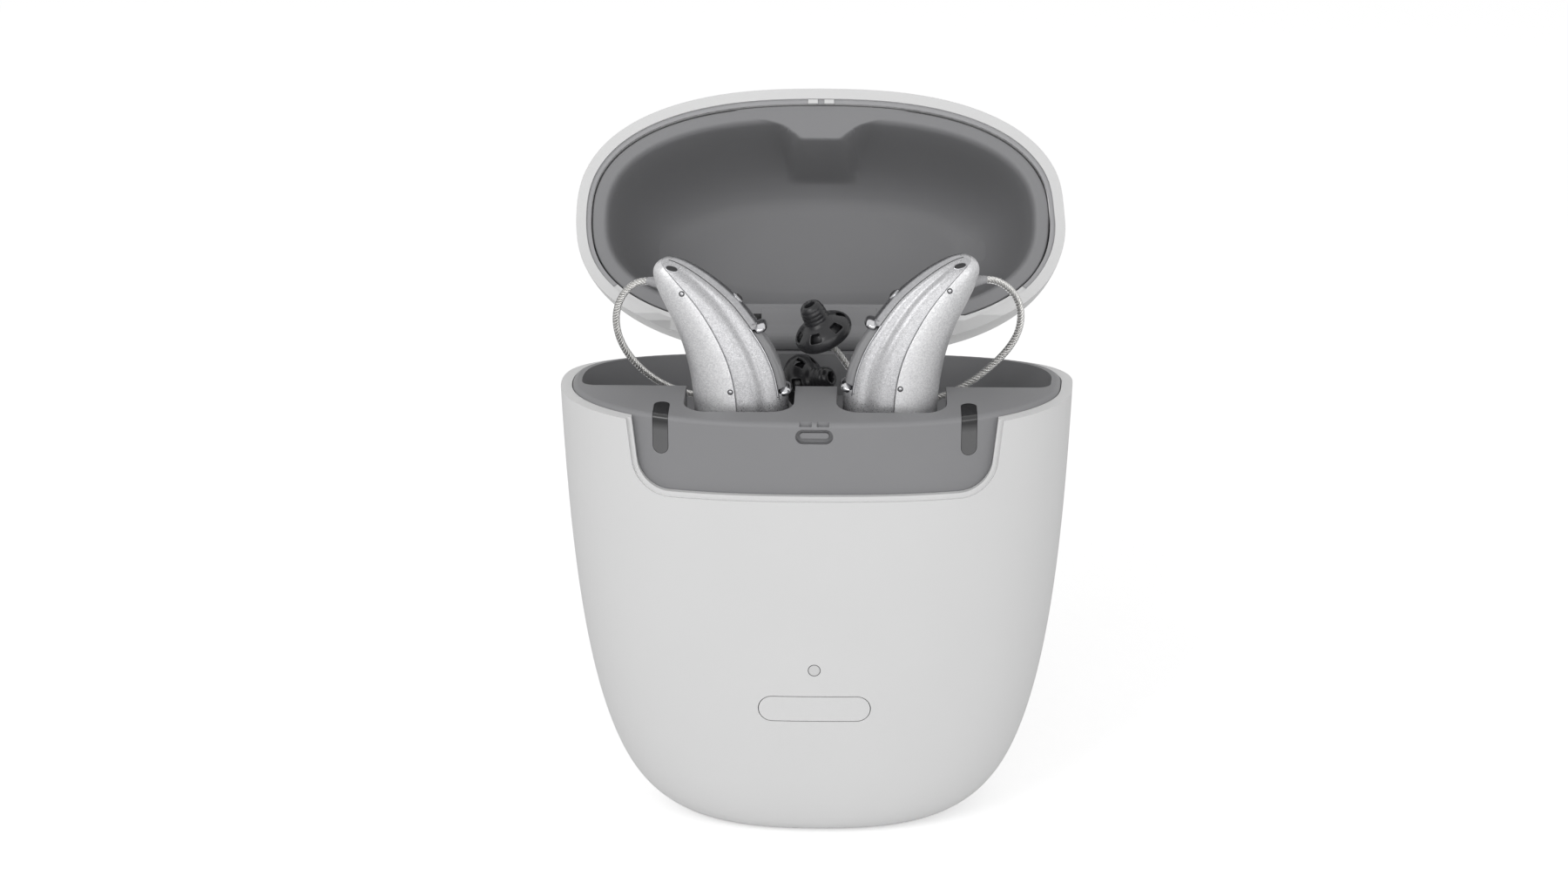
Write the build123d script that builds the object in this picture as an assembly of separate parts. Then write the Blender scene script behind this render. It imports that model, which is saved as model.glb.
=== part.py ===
from build123d import *
import math
import os

# Charging case for a pair of hearing aids, shown open with both aids seated.
# Millimetres. X runs to the viewer's right, Y to the back, Z up.
# The origin is the centre of the flat face that the case stands on.

# Overall sizes of the case
body_half_width = 36.5
body_half_depth = 19.5
rim_height = 65.0
lid_height = 26.5
rim_crown_radius = 120.0
plan_exponent = 2.45
body_bulge = 2.75
body_taper = 0.062
body_corner = 0.18
body_depth_corner = 0.12
lid_bulge = 2.2
lid_corner = 0.2

# Walls, gaps and seats
shell_wall = 2.2
shell_floor = 2.4
rim_wall = 1.6
tray_gap = 0.1
tray_skirt = 15.3
tray_ridge_rise = 0.5
tray_ridge_width = 1.35
lid_gap = 0.2
lid_wall = 2.2
lid_thin_wall = 1.5
lid_thin_rise = 6.0
liner_gap = 0.15
liner_wall = 1.2
liner_lip = 2.0
liner_recess = 0.7
running_gap = 0.05

# Foot
foot_thickness = 1.0
foot_proud = 0.3
foot_margin = 1.2

# Lid hinge
lid_open_angle = 117.0
hinge_y = 18.0
hinge_rise = 1.3
knuckle_radius = 2.0
pin_radius = 1.0
arm_half_width = 8.6
lug_gap = 0.2
lug_width = 5.0
lug_foot_rise = 6.0
lug_back = 1.0
lug_thickness = 2.4
notch_reach = 4.1
notch_rise = 2.6
notch_gap = 0.6
arm_drop = 1.3
arm_top_rise = 8.0
arm_root = 1.0
arm_gap = 0.15
lid_bevel_offset = 0.3
recess_x = -24.0
recess_width = 3.8
recess_depth = 0.7
recess_tall = 3.0
liner_back = 14.6
liner_back_wall = 1.6
saddle_front_y = 14.9
saddle_rise = -0.2
saddle_gap = 0.12

# Front cut-out and latch
cutout_half_width = 25.6
cutout_foot_half_width = 24.2
cutout_drop = 11.0
cutout_corner = 4.6
cutout_bevel = 0.7
latch_slot_half_width = 2.6
latch_slot_depth = 1.1
latch_slot_height = 2.1
latch_slot_rise = -2.7
latch_bar_half_width = 2.0
latch_bar_height = 0.8
latch_bar_depth = 0.5
tab_width = 1.4
tab_offset = 1.2
tab_length = 0.45
tab_room = 0.15

# Pad behind the lid's front lip
boss_flare_half_width = 9.4
boss_half_width = 6.6
boss_end_half_width = 3.4
boss_reach = 3.5
boss_end_round = 1.3
boss_neck_round = 1.5
boss_height = 8.0

# Aid pockets and wire well in the tray
pocket_centre_x = 10.65
pocket_half_width = 7.7
pocket_front_y = -14.0
pocket_depth = 13.0
pocket_corner = 3.4
pocket_floor = 1.5
well_front_y = -4.0
well_depth = 6.6
well_floor = 1.6
well_corner = 2.0
pocket_back_y = -1.0
pocket_cup_wall = 1.2
tray_wall = 1.5
deck_edge_round = 0.7

# Status windows
window_x = 21.3
window_width = 2.1
window_drop = 5.9
window_back_y = -10.5
window_thickness = 1.1
window_gap = 0.06

# Power button and charge indicator
button_height = 21.8
button_width = 15.8
button_tall = 3.8
button_gap = 0.12
button_flange = 1.2
button_flange_thickness = 1.0
button_travel = 0.6
guide_rise = 1.25
guide_margin = 2.4
indicator_height = 27.9
indicator_radius = 0.85
switch_side = 6.0
switch_body = 3.5
switch_plunger = 0.5
switch_spare = 0.1
switch_plunger_radius = 1.6
button_post_radius = 1.4
led_width = 1.6
led_height = 1.0
led_depth = 0.7
led_gap = 0.1

# Inner chassis and electronics
chassis_half_width = 26.0
chassis_half_depth = 8.0
chassis_wall = 1.6
chassis_bottom = 8.0
chassis_pillar = 7.4
chassis_clearance = 0.4
board_thickness = 1.2
board_half_width = 24.0
board_low = 15.0
board_head_room = 8.8
board_screw_inset = 3.4
chip_height = 1.0
chips = [
    (-11.0, 31.0, 7.0, 7.0),
    (11.5, 32.0, 5.0, 5.0),
    (-12.0, 20.5, 4.0, 3.0),
    (12.0, 21.0, 6.0, 3.2),
]
board_screw_margin = 2.5
battery_width = 46.0
battery_thickness = 8.6
battery_head_room = 5.6
battery_gap = 0.15
battery_round = 1.6
coil_outer_radius = 5.6
coil_inner_radius = 2.4
coil_thickness = 0.9
ferrite_thickness = 0.8
ferrite_margin = 0.4
usb_height = 14.0
usb_width = 9.0
usb_tall = 3.3
usb_length = 7.4
usb_wall = 0.35
usb_recess_margin = 1.7
usb_recess_depth = 1.0
usb_tongue_half_width = 3.3
usb_tongue_thickness = 0.7
port_board_half_width = 10.0
screw_radius = 1.0
screw_head_radius = 1.9
screw_head_height = 1.1
post_radius = 3.0
chassis_post_x = 8.5
port_post_x = 7.6
port_post_y = 10.1
port_post_radius = 1.8
port_screw_depth = 3.4
port_board_front_y = 5.0
port_board_back_y = 12.1
port_board_thickness = 1.0

# Hearing aid: stations up the body as x, height over the rim, half width, half thickness
aid_foot_y = -7.8
aid_lean = 0.09
aid_datum_rise = 13.35
aid_stations = [
    (10.9, -12.9, 3.2, 2.5),
    (11.0, -11.3, 4.8, 3.7),
    (11.1, -8.5, 5.6, 4.1),
    (11.3, -4.0, 5.95, 4.2),
    (11.6, 0.4, 5.9, 4.2),
    (12.5, 5.4, 5.5, 4.1),
    (14.1, 9.8, 4.95, 3.8),
    (16.3, 13.3, 4.2, 3.4),
    (18.7, 16.1, 3.25, 2.9),
    (20.5, 17.6, 2.2, 2.2),
    (21.4, 18.3, 1.0, 1.1),
]
aid_exponent = 2.3
aid_seam = [(18.6, 16.4), (15.2, 12.1), (13.2, 7.8), (11.6, 4.2), (10.7, -0.4), (10.4, -5.0), (10.4, -14.0)]
aid_seam_gap = 0.06
rocker_top = (8.0, 10.0)
rocker_bottom = (4.7, 0.5)
rocker_thickness = 1.3
rocker_depth = 3.0
rocker_clearance = 0.22
knob_radius = 0.85
knob_depth = 3.6
microphone = (19.9, 18.0)
microphone_width = 2.0
microphone_tall = 0.9
aid_pins = [(18.3, 13.9), (11.6, -0.7)]
aid_pin_radius = 0.75

# Receiver wires: points of each route as x, y, height over the rim
wire_radius = 0.52
left_wire = [
    (-21.6, -5.1, 15.6),
    (-23.6, -4.6, 16.0),
    (-25.9, -3.4, 15.0),
    (-27.8, -1.8, 12.4),
    (-28.6, -0.1, 9.0),
    (-27.9, 1.8, 5.6),
    (-25.7, 3.6, 2.3),
    (-22.4, 5.4, -0.7),
    (-18.4, 7.0, -3.1),
    (-14.0, 8.2, -4.4),
    (-9.6, 8.8, -4.2),
    (-5.2, 8.8, -2.4),
]
right_wire = [
    (21.6, -5.1, 16.0),
    (23.7, -4.6, 16.5),
    (26.3, -3.5, 15.4),
    (28.4, -2.0, 12.8),
    (29.0, -0.5, 9.3),
    (28.1, 0.9, 5.8),
    (25.7, 2.1, 2.4),
    (22.3, 2.9, -0.8),
    (18.2, 3.3, -3.2),
    (13.8, 3.5, -4.2),
    (9.8, 3.3, -3.3),
    (7.0, 2.8, -1.1),
    (4.5, 1.9, 3.2),
]
left_ear_direction = (0.9, 0.0, 0.375)
right_ear_direction = (-0.5, -0.18, 0.85)
receiver_radius = 1.5
receiver_length = 3.4
dome_radius = 3.9
dome_cap_radius = 1.6
dome_length = 4.4
dome_wall = 0.5
nozzle_radius = 0.9
nozzle_length = 3.4

foot_seat = foot_thickness
port_board_low = usb_height - usb_tall / 2 - port_board_thickness
hinge_z = rim_height + hinge_rise
screw_bore = screw_radius - 0.02
shell_top = rim_height + 3.0
tray_half_width = body_half_width - rim_wall - tray_gap
tray_half_depth = body_half_depth - rim_wall - tray_gap
tray_seat = rim_height - tray_skirt
pocket_bottom = rim_height - pocket_depth - pocket_floor
chassis_top = pocket_bottom - coil_thickness - ferrite_thickness
board_high = chassis_top - board_head_room
battery_height = chassis_top - chassis_bottom - 2 * chassis_wall - battery_head_room
aid_datum = rim_height - pocket_depth + aid_datum_rise


def superellipse(half_width, half_depth, exponent=plan_exponent):
    """Face bounded by |x / half_width|^n + |y / half_depth|^n = 1."""
    points = []
    for step in range(24):
        turn = 2 * math.pi * step / 24
        across = math.copysign(abs(math.cos(turn)) ** (2 / exponent), math.cos(turn))
        along = math.copysign(abs(math.sin(turn)) ** (2 / exponent), math.sin(turn))
        points.append((half_width * across, half_depth * along))
    return make_face(Spline(*points, periodic=True))


def prism(inset, low, high):
    """Straight solid of the rim outline, drawn in by inset, between two heights."""
    face = superellipse(body_half_width - inset, body_half_depth - inset)
    return extrude(Pos(0, 0, low) * face, high - low)


def body_profile(z, corner):
    """Share of the rim outline left at height z: a slight taper, then a rounded foot."""
    drop = max(0.0, (rim_height - z) / (rim_height + 0.4))
    return (1 - body_taper * drop) * (1 - drop ** body_bulge) ** corner


def body_scale(z):
    """Share of the rim's width at height z."""
    return body_profile(z, body_corner)


def body_depth_scale(z):
    """Share of the rim's depth at height z. It narrows less, so that the case stands with its lid open."""
    return body_profile(z, body_depth_corner)


def even_levels(scale_at, low, high, count):
    """Heights that lie evenly along the profile, so that a loft through them stays smooth."""
    heights = [low + (high - low) * step / 600 for step in range(601)]
    lengths = [0.0]
    for before, after in zip(heights, heights[1:]):
        across = body_half_width * (scale_at(after) - scale_at(before))
        lengths.append(lengths[-1] + math.hypot(across, after - before))
    levels = []
    for index in range(count):
        wanted = lengths[-1] * index / (count - 1)
        levels.append(heights[min(range(601), key=lambda step: abs(lengths[step] - wanted))])
    return levels


def scaled_loft(scale_at, depth_at, inset, low, high, count):
    """Loft of the rim outline scaled by height and drawn in by inset."""
    sections = []
    for z in even_levels(scale_at, low, high, count):
        face = superellipse(body_half_width * scale_at(z) - inset, body_half_depth * depth_at(z) - inset)
        sections.append(Pos(0, 0, z) * face)
    return loft(sections)


def body_form(inset, floor, top):
    """The body's rounded, tapering form, drawn in by inset above a floor."""
    shift = foot_proud - floor
    return scaled_loft(lambda z: body_scale(z + shift), lambda z: body_depth_scale(z + shift),
                       inset, floor, top, 13)


def lid_form(inset, height, low):
    """The lid's domed form over the rim, drawn in by inset, closed position."""
    def scale_at(z):
        share = max(0.0, (z - rim_height) / height)
        return (1 - share ** lid_bulge) ** lid_corner
    return scaled_loft(scale_at, scale_at, inset, low, rim_height + 0.98 * height, 12)


def crown(rise):
    """Everything under the rim's crowned surface, raised by rise."""
    radius = rim_crown_radius + rise
    return Pos(0, 0, rim_height - rim_crown_radius) * Rot(0, 90, 0) * Cylinder(radius, 120)


def block(low, high):
    """Box between two corners."""
    size = [high[i] - low[i] for i in range(3)]
    centre = [(high[i] + low[i]) / 2 for i in range(3)]
    return Pos(*centre) * Box(*size)


def rod_y(x, z, low, high, radius):
    """Cylinder along Y."""
    return Pos(x, (low + high) / 2, z) * Rot(90, 0, 0) * Cylinder(radius, high - low)


def rod_x(y, z, low, high, radius):
    """Cylinder along X."""
    return Pos((low + high) / 2, y, z) * Rot(0, 90, 0) * Cylinder(radius, high - low)


def rod_z(x, y, low, high, radius):
    """Cylinder along Z."""
    return Pos(x, y, (low + high) / 2) * Cylinder(radius, high - low)


def pill_y(x, z, width, tall, low, high):
    """Bar along Y with a pill-shaped section, wider than tall or the reverse."""
    short = min(width, tall)
    face = RectangleRounded(width, tall, short / 2 - 0.001)
    return Pos(x, high, z) * Rot(90, 0, 0) * extrude(face, high - low)


def extrude_yz(points, low, high):
    """Solid with a polygon drawn in Y and Z, between two X values."""
    face = make_face(Polyline(*[(0, y, z) for y, z in points], close=True))
    return Pos(low, 0, 0) * extrude(face, high - low, dir=(1, 0, 0))


def open_lid(solid):
    """Turn a piece drawn in the closed position to the open one."""
    axis = Axis((0, hinge_y, hinge_z), (-1, 0, 0))
    return solid.rotate(axis, lid_open_angle)


def outer_form():
    return body_form(0.0, foot_proud, shell_top)


def cutout_tool(extra, low, high):
    """Front cut-out, its outline grown by extra."""
    bottom = rim_height - cutout_drop - extra
    top = shell_top
    wide = cutout_half_width + extra + (top - rim_height) * 0.05
    narrow = cutout_foot_half_width + extra
    outline = [(-narrow, bottom), (narrow, bottom), (wide, top), (-wide, top)]
    face = make_face(Polyline(*outline, close=True))
    corners = face.vertices().sort_by(Axis.Y)[:2]
    face = fillet(corners, cutout_corner + extra)
    return Pos(0, high, 0) * Rot(90, 0, 0) * extrude(face, high - low)


def make_outer_shell(form):
    inner = body_form(shell_wall, foot_proud + shell_floor, rim_height + 1)
    shell = (form - inner) & crown(0)
    shell -= prism(rim_wall, tray_seat, shell_top)
    front = -body_half_depth - 3
    shell -= cutout_tool(0, front, -6)
    skin = form - prism(cutout_bevel, 0, shell_top)
    shell -= cutout_tool(cutout_bevel, front, -6) & skin
    guide_wide = button_width + 2 * guide_margin
    guide_tall = button_tall + 2 * guide_margin
    guide = pill_y(0, button_height, guide_wide, guide_tall, front, guide_back_y()) & form
    shell += guide
    hole_wide = button_width + 2 * button_gap
    hole_tall = button_tall + 2 * button_gap
    shell -= pill_y(0, button_height, hole_wide, hole_tall, front, -8)
    shell -= rod_y(0, indicator_height, front, -8, indicator_radius + running_gap)
    port_wide = usb_width + 2 * running_gap
    port_tall = usb_tall + 2 * running_gap
    shell -= pill_y(0, usb_height, port_wide, port_tall, 8, body_half_depth + 3)
    recess_wide = usb_width + 2 * usb_recess_margin
    recess_tall_z = usb_tall + 2 * usb_recess_margin
    shell -= pill_y(0, usb_height, recess_wide, recess_tall_z, usb_mouth_y(), body_half_depth + 3)
    for x in (-chassis_post_x, chassis_post_x):
        shell += rod_z(x, 0, foot_proud + 1, chassis_bottom, post_radius)
        shell -= rod_z(x, 0, -1, chassis_bottom + 1, screw_radius + running_gap)
        shell -= rod_z(x, 0, -1, foot_seat + screw_head_height, screw_head_radius + running_gap)
    for x in (-port_post_x, port_post_x):
        shell += rod_z(x, port_post_y, foot_proud + 1, port_board_low, port_post_radius)
        shell -= rod_z(x, port_post_y, port_board_low - port_screw_depth, port_board_low + 1, screw_bore)
    pad = extrude(Pos(0, 0, -1) * foot_outline(running_gap), foot_seat + 1)
    return shell - pad


def foot_outline(grow):
    inset = foot_margin - grow
    half_width = body_half_width * body_scale(0.0) - inset
    half_depth = body_half_depth * body_depth_scale(0.0) - inset
    return superellipse(half_width, half_depth)


def usb_mouth_y():
    """Y of the shell's outer back wall at the charging port, less a shallow recess."""
    return body_half_depth * body_depth_scale(usb_height) - usb_recess_depth


def guide_back_y():
    """Y of the power button's guide, a little behind the inner face of the front wall."""
    return guide_rise + shell_wall - body_half_depth * body_depth_scale(button_height)


def make_foot_pad():
    pad = extrude(foot_outline(0.0), foot_thickness)
    return pad


def pocket_tool(side, low, high):
    """Upright slot with rounded corners that one aid stands in."""
    length = pocket_back_y - pocket_front_y
    face = RectangleRounded(2 * pocket_half_width, length, pocket_corner)
    return Pos(side * pocket_centre_x, pocket_front_y + length / 2, low) * extrude(face, high - low)


def well_tool(low, high):
    """Wide well across the back of the tray for the receiver wires and domes."""
    inset = rim_wall + tray_gap + tray_ridge_width
    face = superellipse(body_half_width - inset, body_half_depth - inset)
    face &= Pos(0, well_front_y + 30) * Rectangle(100, 60)
    corners = face.vertices().sort_by(Axis.Y)[:2]
    face = fillet(corners, well_corner)
    return extrude(Pos(0, 0, low) * face, high - low)


def lug_form(low, high):
    """Hinge lug between two X values, a web with a round knuckle on top."""
    back = hinge_y - lug_back
    front = back - lug_thickness
    foot = pocket_bottom + lug_foot_rise
    web = [(front, foot), (back, foot), (back, rim_height - 1.0), (hinge_y, hinge_z),
           (hinge_y - 1.6, hinge_z + 1.2), (front, rim_height - 0.4)]
    return extrude_yz(web, low, high) + rod_x(hinge_y, hinge_z, low, high, knuckle_radius)


def tray_block():
    """The tray before anything is cut: the rim's inner outline under a raised crown, its top edge rounded."""
    full = prism(rim_wall + tray_gap, tray_seat, shell_top) & crown(tray_ridge_rise)
    top_edges = [edge for edge in full.edges() if edge.center().Z > tray_seat + 5]
    return fillet(top_edges, deck_edge_round)


def make_charging_tray(full):
    tray = full
    hollow = prism(rim_wall + tray_gap + tray_wall, tray_seat - 1, rim_height - well_depth - well_floor)
    tray -= hollow
    for side in (-1, 1):
        cup_face = RectangleRounded(2 * (pocket_half_width + pocket_cup_wall),
                                    pocket_back_y - pocket_front_y + pocket_cup_wall / 3,
                                    pocket_corner + pocket_cup_wall)
        cup_y = (pocket_front_y + pocket_back_y) / 2 - 1.0
        cup = extrude(cup_face, rim_height - well_depth - pocket_bottom)
        cup = Pos(side * pocket_centre_x, cup_y, pocket_bottom) * cup
        tray += cup & prism(rim_wall + tray_gap, 0, shell_top)
    lug_inner = arm_half_width + lug_gap
    for low in (-lug_inner - lug_width, lug_inner):
        tray += lug_form(low, low + lug_width)
    tray -= well_tool(rim_height - well_depth, shell_top) - lug_block()
    for side in (-1, 1):
        tray -= pocket_tool(side, rim_height - pocket_depth, shell_top)
        tray -= window_form(side, full, window_gap)
    tray += hinge_saddle()
    slot_z = rim_height + latch_slot_rise
    slot_back = -tray_half_depth + latch_slot_depth
    tray -= pill_y(0, slot_z, 2 * latch_slot_half_width, latch_slot_height, -tray_half_depth - 1, slot_back)
    bar_front = slot_back - latch_bar_depth
    tray += pill_y(0, slot_z, 2 * latch_bar_half_width, latch_bar_height, bar_front, slot_back)
    notch_floor = local_rim(-tray_half_depth) + tray_ridge_rise - tab_length
    for offset in (-tab_offset, tab_offset):
        half = tab_width / 2 + tab_room
        tray -= block((offset - half, -tray_half_depth - 1, notch_floor),
                      (offset + half, -body_half_depth + lid_wall + tab_room, rim_height + 2))
    tray -= rod_x(hinge_y, hinge_z, -20, 20, pin_radius + 0.01)
    return tray


def local_rim(y):
    """Height of the crowned rim at y."""
    return rim_height - rim_crown_radius + math.sqrt(rim_crown_radius ** 2 - y ** 2)


def hinge_saddle():
    """Trough behind the wire well that the lid's knuckle turns over, so that no light shows under it."""
    half = arm_half_width + lug_gap
    web = block((-half, saddle_front_y, rim_height - well_depth - 0.5),
                (half, tray_half_depth, rim_height + saddle_rise))
    web &= prism(rim_wall + tray_gap, tray_seat, shell_top)
    return web - rod_x(hinge_y, hinge_z, -half - 1, half + 1, knuckle_radius + saddle_gap)


def lug_block():
    """Space of both hinge lugs, kept solid through the wire well."""
    lug_inner = arm_half_width + lug_gap
    left = lug_form(-lug_inner - lug_width, -lug_inner)
    return left + lug_form(lug_inner, lug_inner + lug_width)


def window_form(side, full, grow):
    """Light window that runs up the tray's front wall and back over its edge."""
    low = rim_height - window_drop - grow
    wide = window_width + 2 * grow
    tall = shell_top + 6 - low
    bar = pill_y(side * window_x, low + tall / 2, wide, tall, -30, window_back_y + grow)
    plan = RectangleRounded(wide, 30, wide / 2 - 0.001)
    bar &= extrude(Pos(side * window_x, window_back_y + grow - 15, low - 1) * plan, tall + 2)
    outside = full & bar
    wall_y = -tray_half_depth * (1 - (window_x / tray_half_width) ** plan_exponent) ** (1 / plan_exponent)
    core_front = wall_y + window_thickness + grow
    core_top = rim_height - window_thickness - grow - 0.6
    core = block((-60, core_front, 0), (60, 0, core_top))
    return outside - core


def make_status_light(side, full):
    return window_form(side, full, 0.0)


def make_power_button(form):
    face = pill_y(0, button_height, button_width, button_tall, -40, guide_back_y()) & form
    flange_wide = button_width + 2 * button_flange
    flange_tall = button_tall + 2 * button_flange
    back = guide_back_y() + button_flange_thickness
    button = face + pill_y(0, button_height, flange_wide, flange_tall, guide_back_y(), back)
    return button + rod_y(0, button_height, back - switch_spare, back, button_post_radius)


def board_front_y():
    plunger_y = guide_back_y() + button_flange_thickness + button_travel + switch_spare
    return plunger_y + switch_plunger + switch_body


def make_tactile_switch():
    front = board_front_y()
    body = block((-switch_side / 2, front - switch_body, button_height - switch_side / 2),
                 (switch_side / 2, front, button_height + switch_side / 2))
    return body + rod_y(0, button_height, front - switch_body - switch_plunger, front - switch_body,
                         switch_plunger_radius)


def make_charge_indicator(form):
    back = board_front_y() - led_depth - led_gap
    return rod_y(0, indicator_height, -40, back, indicator_radius) & form


def make_indicator_led():
    front = board_front_y()
    return block((-led_width / 2, front - led_depth, indicator_height - led_height / 2),
                 (led_width / 2, front, indicator_height + led_height / 2))


def board_holes():
    spots = []
    across = board_half_width - board_screw_inset
    for x in (-across, across):
        for z in (board_low + board_screw_margin, board_high - board_screw_margin):
            spots.append((x, z))
    return spots


def make_main_board():
    front = board_front_y()
    board = block((-board_half_width, front, board_low),
                  (board_half_width, front + board_thickness, board_high))
    board &= body_form(shell_wall + chassis_clearance, foot_proud + shell_floor, rim_height)
    for x, z in board_holes():
        board -= rod_y(x, z, front - 1, front + 3, screw_radius + running_gap)
    for x, z, wide, tall in chips:
        board += block((x - wide / 2, front - chip_height, z - tall / 2), (x + wide / 2, front, z + tall / 2))
    return board


def make_inner_chassis():
    front = board_front_y() + board_thickness
    back = chassis_half_depth
    outer = block((-chassis_half_width, front, chassis_bottom), (chassis_half_width, back, chassis_top))
    bay = block((-chassis_half_width + chassis_pillar, front - 1, chassis_bottom + chassis_wall),
                (chassis_half_width - chassis_pillar, back + 1, chassis_top - chassis_wall))
    bay_side = battery_width / 2 + 2 * battery_gap
    cell_front = front + chassis_wall
    cell = block((-bay_side, cell_front, chassis_bottom + chassis_wall),
                 (bay_side, cell_front + battery_thickness + 2 * battery_gap, chassis_top - chassis_wall))
    frame = outer - bay - cell
    frame &= body_form(shell_wall + chassis_clearance, foot_proud + shell_floor, rim_height)
    for x, z in board_holes():
        frame -= rod_y(x, z, front - 1, front + 1.7, screw_bore)
    for x in (-chassis_post_x, chassis_post_x):
        frame -= rod_z(x, 0, chassis_bottom - 1, chassis_bottom + chassis_wall + 1, screw_bore)
    return frame


def battery_front_y():
    return board_front_y() + board_thickness + chassis_wall + battery_gap


def make_battery():
    front = battery_front_y()
    low = chassis_bottom + chassis_wall
    cell = block((-battery_width / 2, front, low),
                 (battery_width / 2, front + battery_thickness, low + battery_height))
    upright = cell.edges().filter_by(Axis.Z)
    return fillet(upright, battery_round)


def make_coil(side):
    low = pocket_bottom - coil_thickness
    centre_y = (pocket_front_y + pocket_back_y) / 2
    ring = Cylinder(coil_outer_radius, coil_thickness) - Cylinder(coil_inner_radius, coil_thickness)
    return Pos(side * pocket_centre_x, centre_y, low + coil_thickness / 2) * ring


def make_ferrites():
    centre_y = (pocket_front_y + pocket_back_y) / 2
    discs = []
    radius = coil_outer_radius + ferrite_margin
    top = chassis_top + ferrite_thickness
    for side in (-1, 1):
        discs.append(rod_z(side * pocket_centre_x, centre_y, chassis_top, top, radius))
    return Compound(children=discs)


def make_port_board():
    board = block((-port_board_half_width, port_board_front_y, port_board_low),
                  (port_board_half_width, port_board_back_y, usb_height - usb_tall / 2))
    for x in (-port_post_x, port_post_x):
        board -= rod_z(x, port_post_y, 0, 30, screw_radius + running_gap)
    return board


def make_usb_port():
    mouth = usb_mouth_y()
    can = pill_y(0, usb_height, usb_width, usb_tall, mouth - usb_length, mouth)
    inner_wide = usb_width - 2 * usb_wall
    inner_tall = usb_tall - 2 * usb_wall
    can -= pill_y(0, usb_height, inner_wide, inner_tall, mouth - usb_length + 0.8, mouth + 1)
    half = usb_tongue_thickness / 2
    tongue = block((-usb_tongue_half_width, mouth - usb_length + 0.4, usb_height - half),
                   (usb_tongue_half_width, mouth - 1.0, usb_height + half))
    return can + tongue


def screw(x, y, z, axis, length):
    """Pan-head screw whose head rests at the point, its shank along axis."""
    body = Pos(0, 0, length / 2) * Cylinder(screw_radius - 0.04, length)
    head = Pos(0, 0, -screw_head_height / 2 + 0.1) * Cylinder(screw_head_radius - 0.1, screw_head_height - 0.2)
    turn = {"+z": Rot(0, 0, 0), "-z": Rot(180, 0, 0), "+y": Rot(-90, 0, 0)}[axis]
    return Pos(x, y, z) * turn * (body + head)


def make_case_screws():
    seat = foot_seat + screw_head_height
    return Compound(children=[screw(x, 0, seat, "+z", chassis_bottom + 1.4 - seat)
                              for x in (-chassis_post_x, chassis_post_x)])


def make_board_screws():
    front = board_front_y()
    return Compound(children=[screw(x, front, z, "+y", board_thickness + 1.5) for x, z in board_holes()])


def make_port_screws():
    top = usb_height - usb_tall / 2
    return Compound(children=[screw(x, port_post_y, top, "-z", 3.0) for x in (-port_post_x, port_post_x)])


def lid_back_wedge():
    """Everything behind and below the lid's bevelled back edge, closed position."""
    slope = math.radians(lid_open_angle - 90)
    along = (math.cos(slope), math.sin(slope))
    down = (math.sin(slope), -math.cos(slope))
    base = (hinge_y + down[0] * lid_bevel_offset, hinge_z + down[1] * lid_bevel_offset)
    near = (base[0] - 30 * along[0], base[1] - 30 * along[1])
    far = (base[0] + 20 * along[0], base[1] + 20 * along[1])
    low = (far[0] + 40 * down[0], far[1] + 40 * down[1])
    low_near = (near[0] + 40 * down[0], near[1] + 40 * down[1])
    return extrude_yz([near, far, low, low_near], -60, 60)


def hinge_notch():
    """Clearance in the lid around the tray's hinge lugs, closed position."""
    half = arm_half_width + lug_gap + lug_width + notch_gap
    return block((-half, hinge_y - notch_reach, rim_height - 8), (half, 40, hinge_z + notch_rise))


def make_lid_shell():
    outer = lid_form(0.0, lid_height, rim_height - 4)
    inner = lid_form(lid_wall, lid_height - lid_wall, rim_height - 5)
    thin = lid_form(lid_thin_wall, lid_height - lid_thin_wall, rim_height - 5)
    inner += thin & block((-60, -60, rim_height + lid_thin_rise), (60, 60, 200))
    inner &= block((-60, -60, 0), (60, liner_back + liner_gap, 200))
    lid = outer - inner - crown(lid_gap) - lid_back_wedge()
    lid -= prism(rim_wall - tray_gap, rim_height - 5, rim_height + 2) & crown(tray_ridge_rise + lid_gap)
    lid -= hinge_notch()
    arm_side = arm_half_width + arm_gap
    lid -= block((-arm_side, liner_back - arm_root, rim_height - 8),
                 (arm_side, hinge_y + 2 * arm_gap, rim_height + arm_top_rise + 2 * arm_gap))
    recess = Rot(90 - lid_open_angle, 0, 0) * Box(recess_width, recess_depth, recess_tall)
    lid -= Pos(recess_x, hinge_y - 1.6, hinge_z - 0.9) * recess
    ceiling = local_rim(-tray_half_depth) + tray_ridge_rise + lid_gap
    for offset in (-tab_offset, tab_offset):
        lid += block((offset - tab_width / 2, -tray_half_depth - 0.1, ceiling - tab_length),
                     (offset + tab_width / 2, -body_half_depth + lid_wall, ceiling + 1.5))
    return open_lid(lid)


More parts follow.
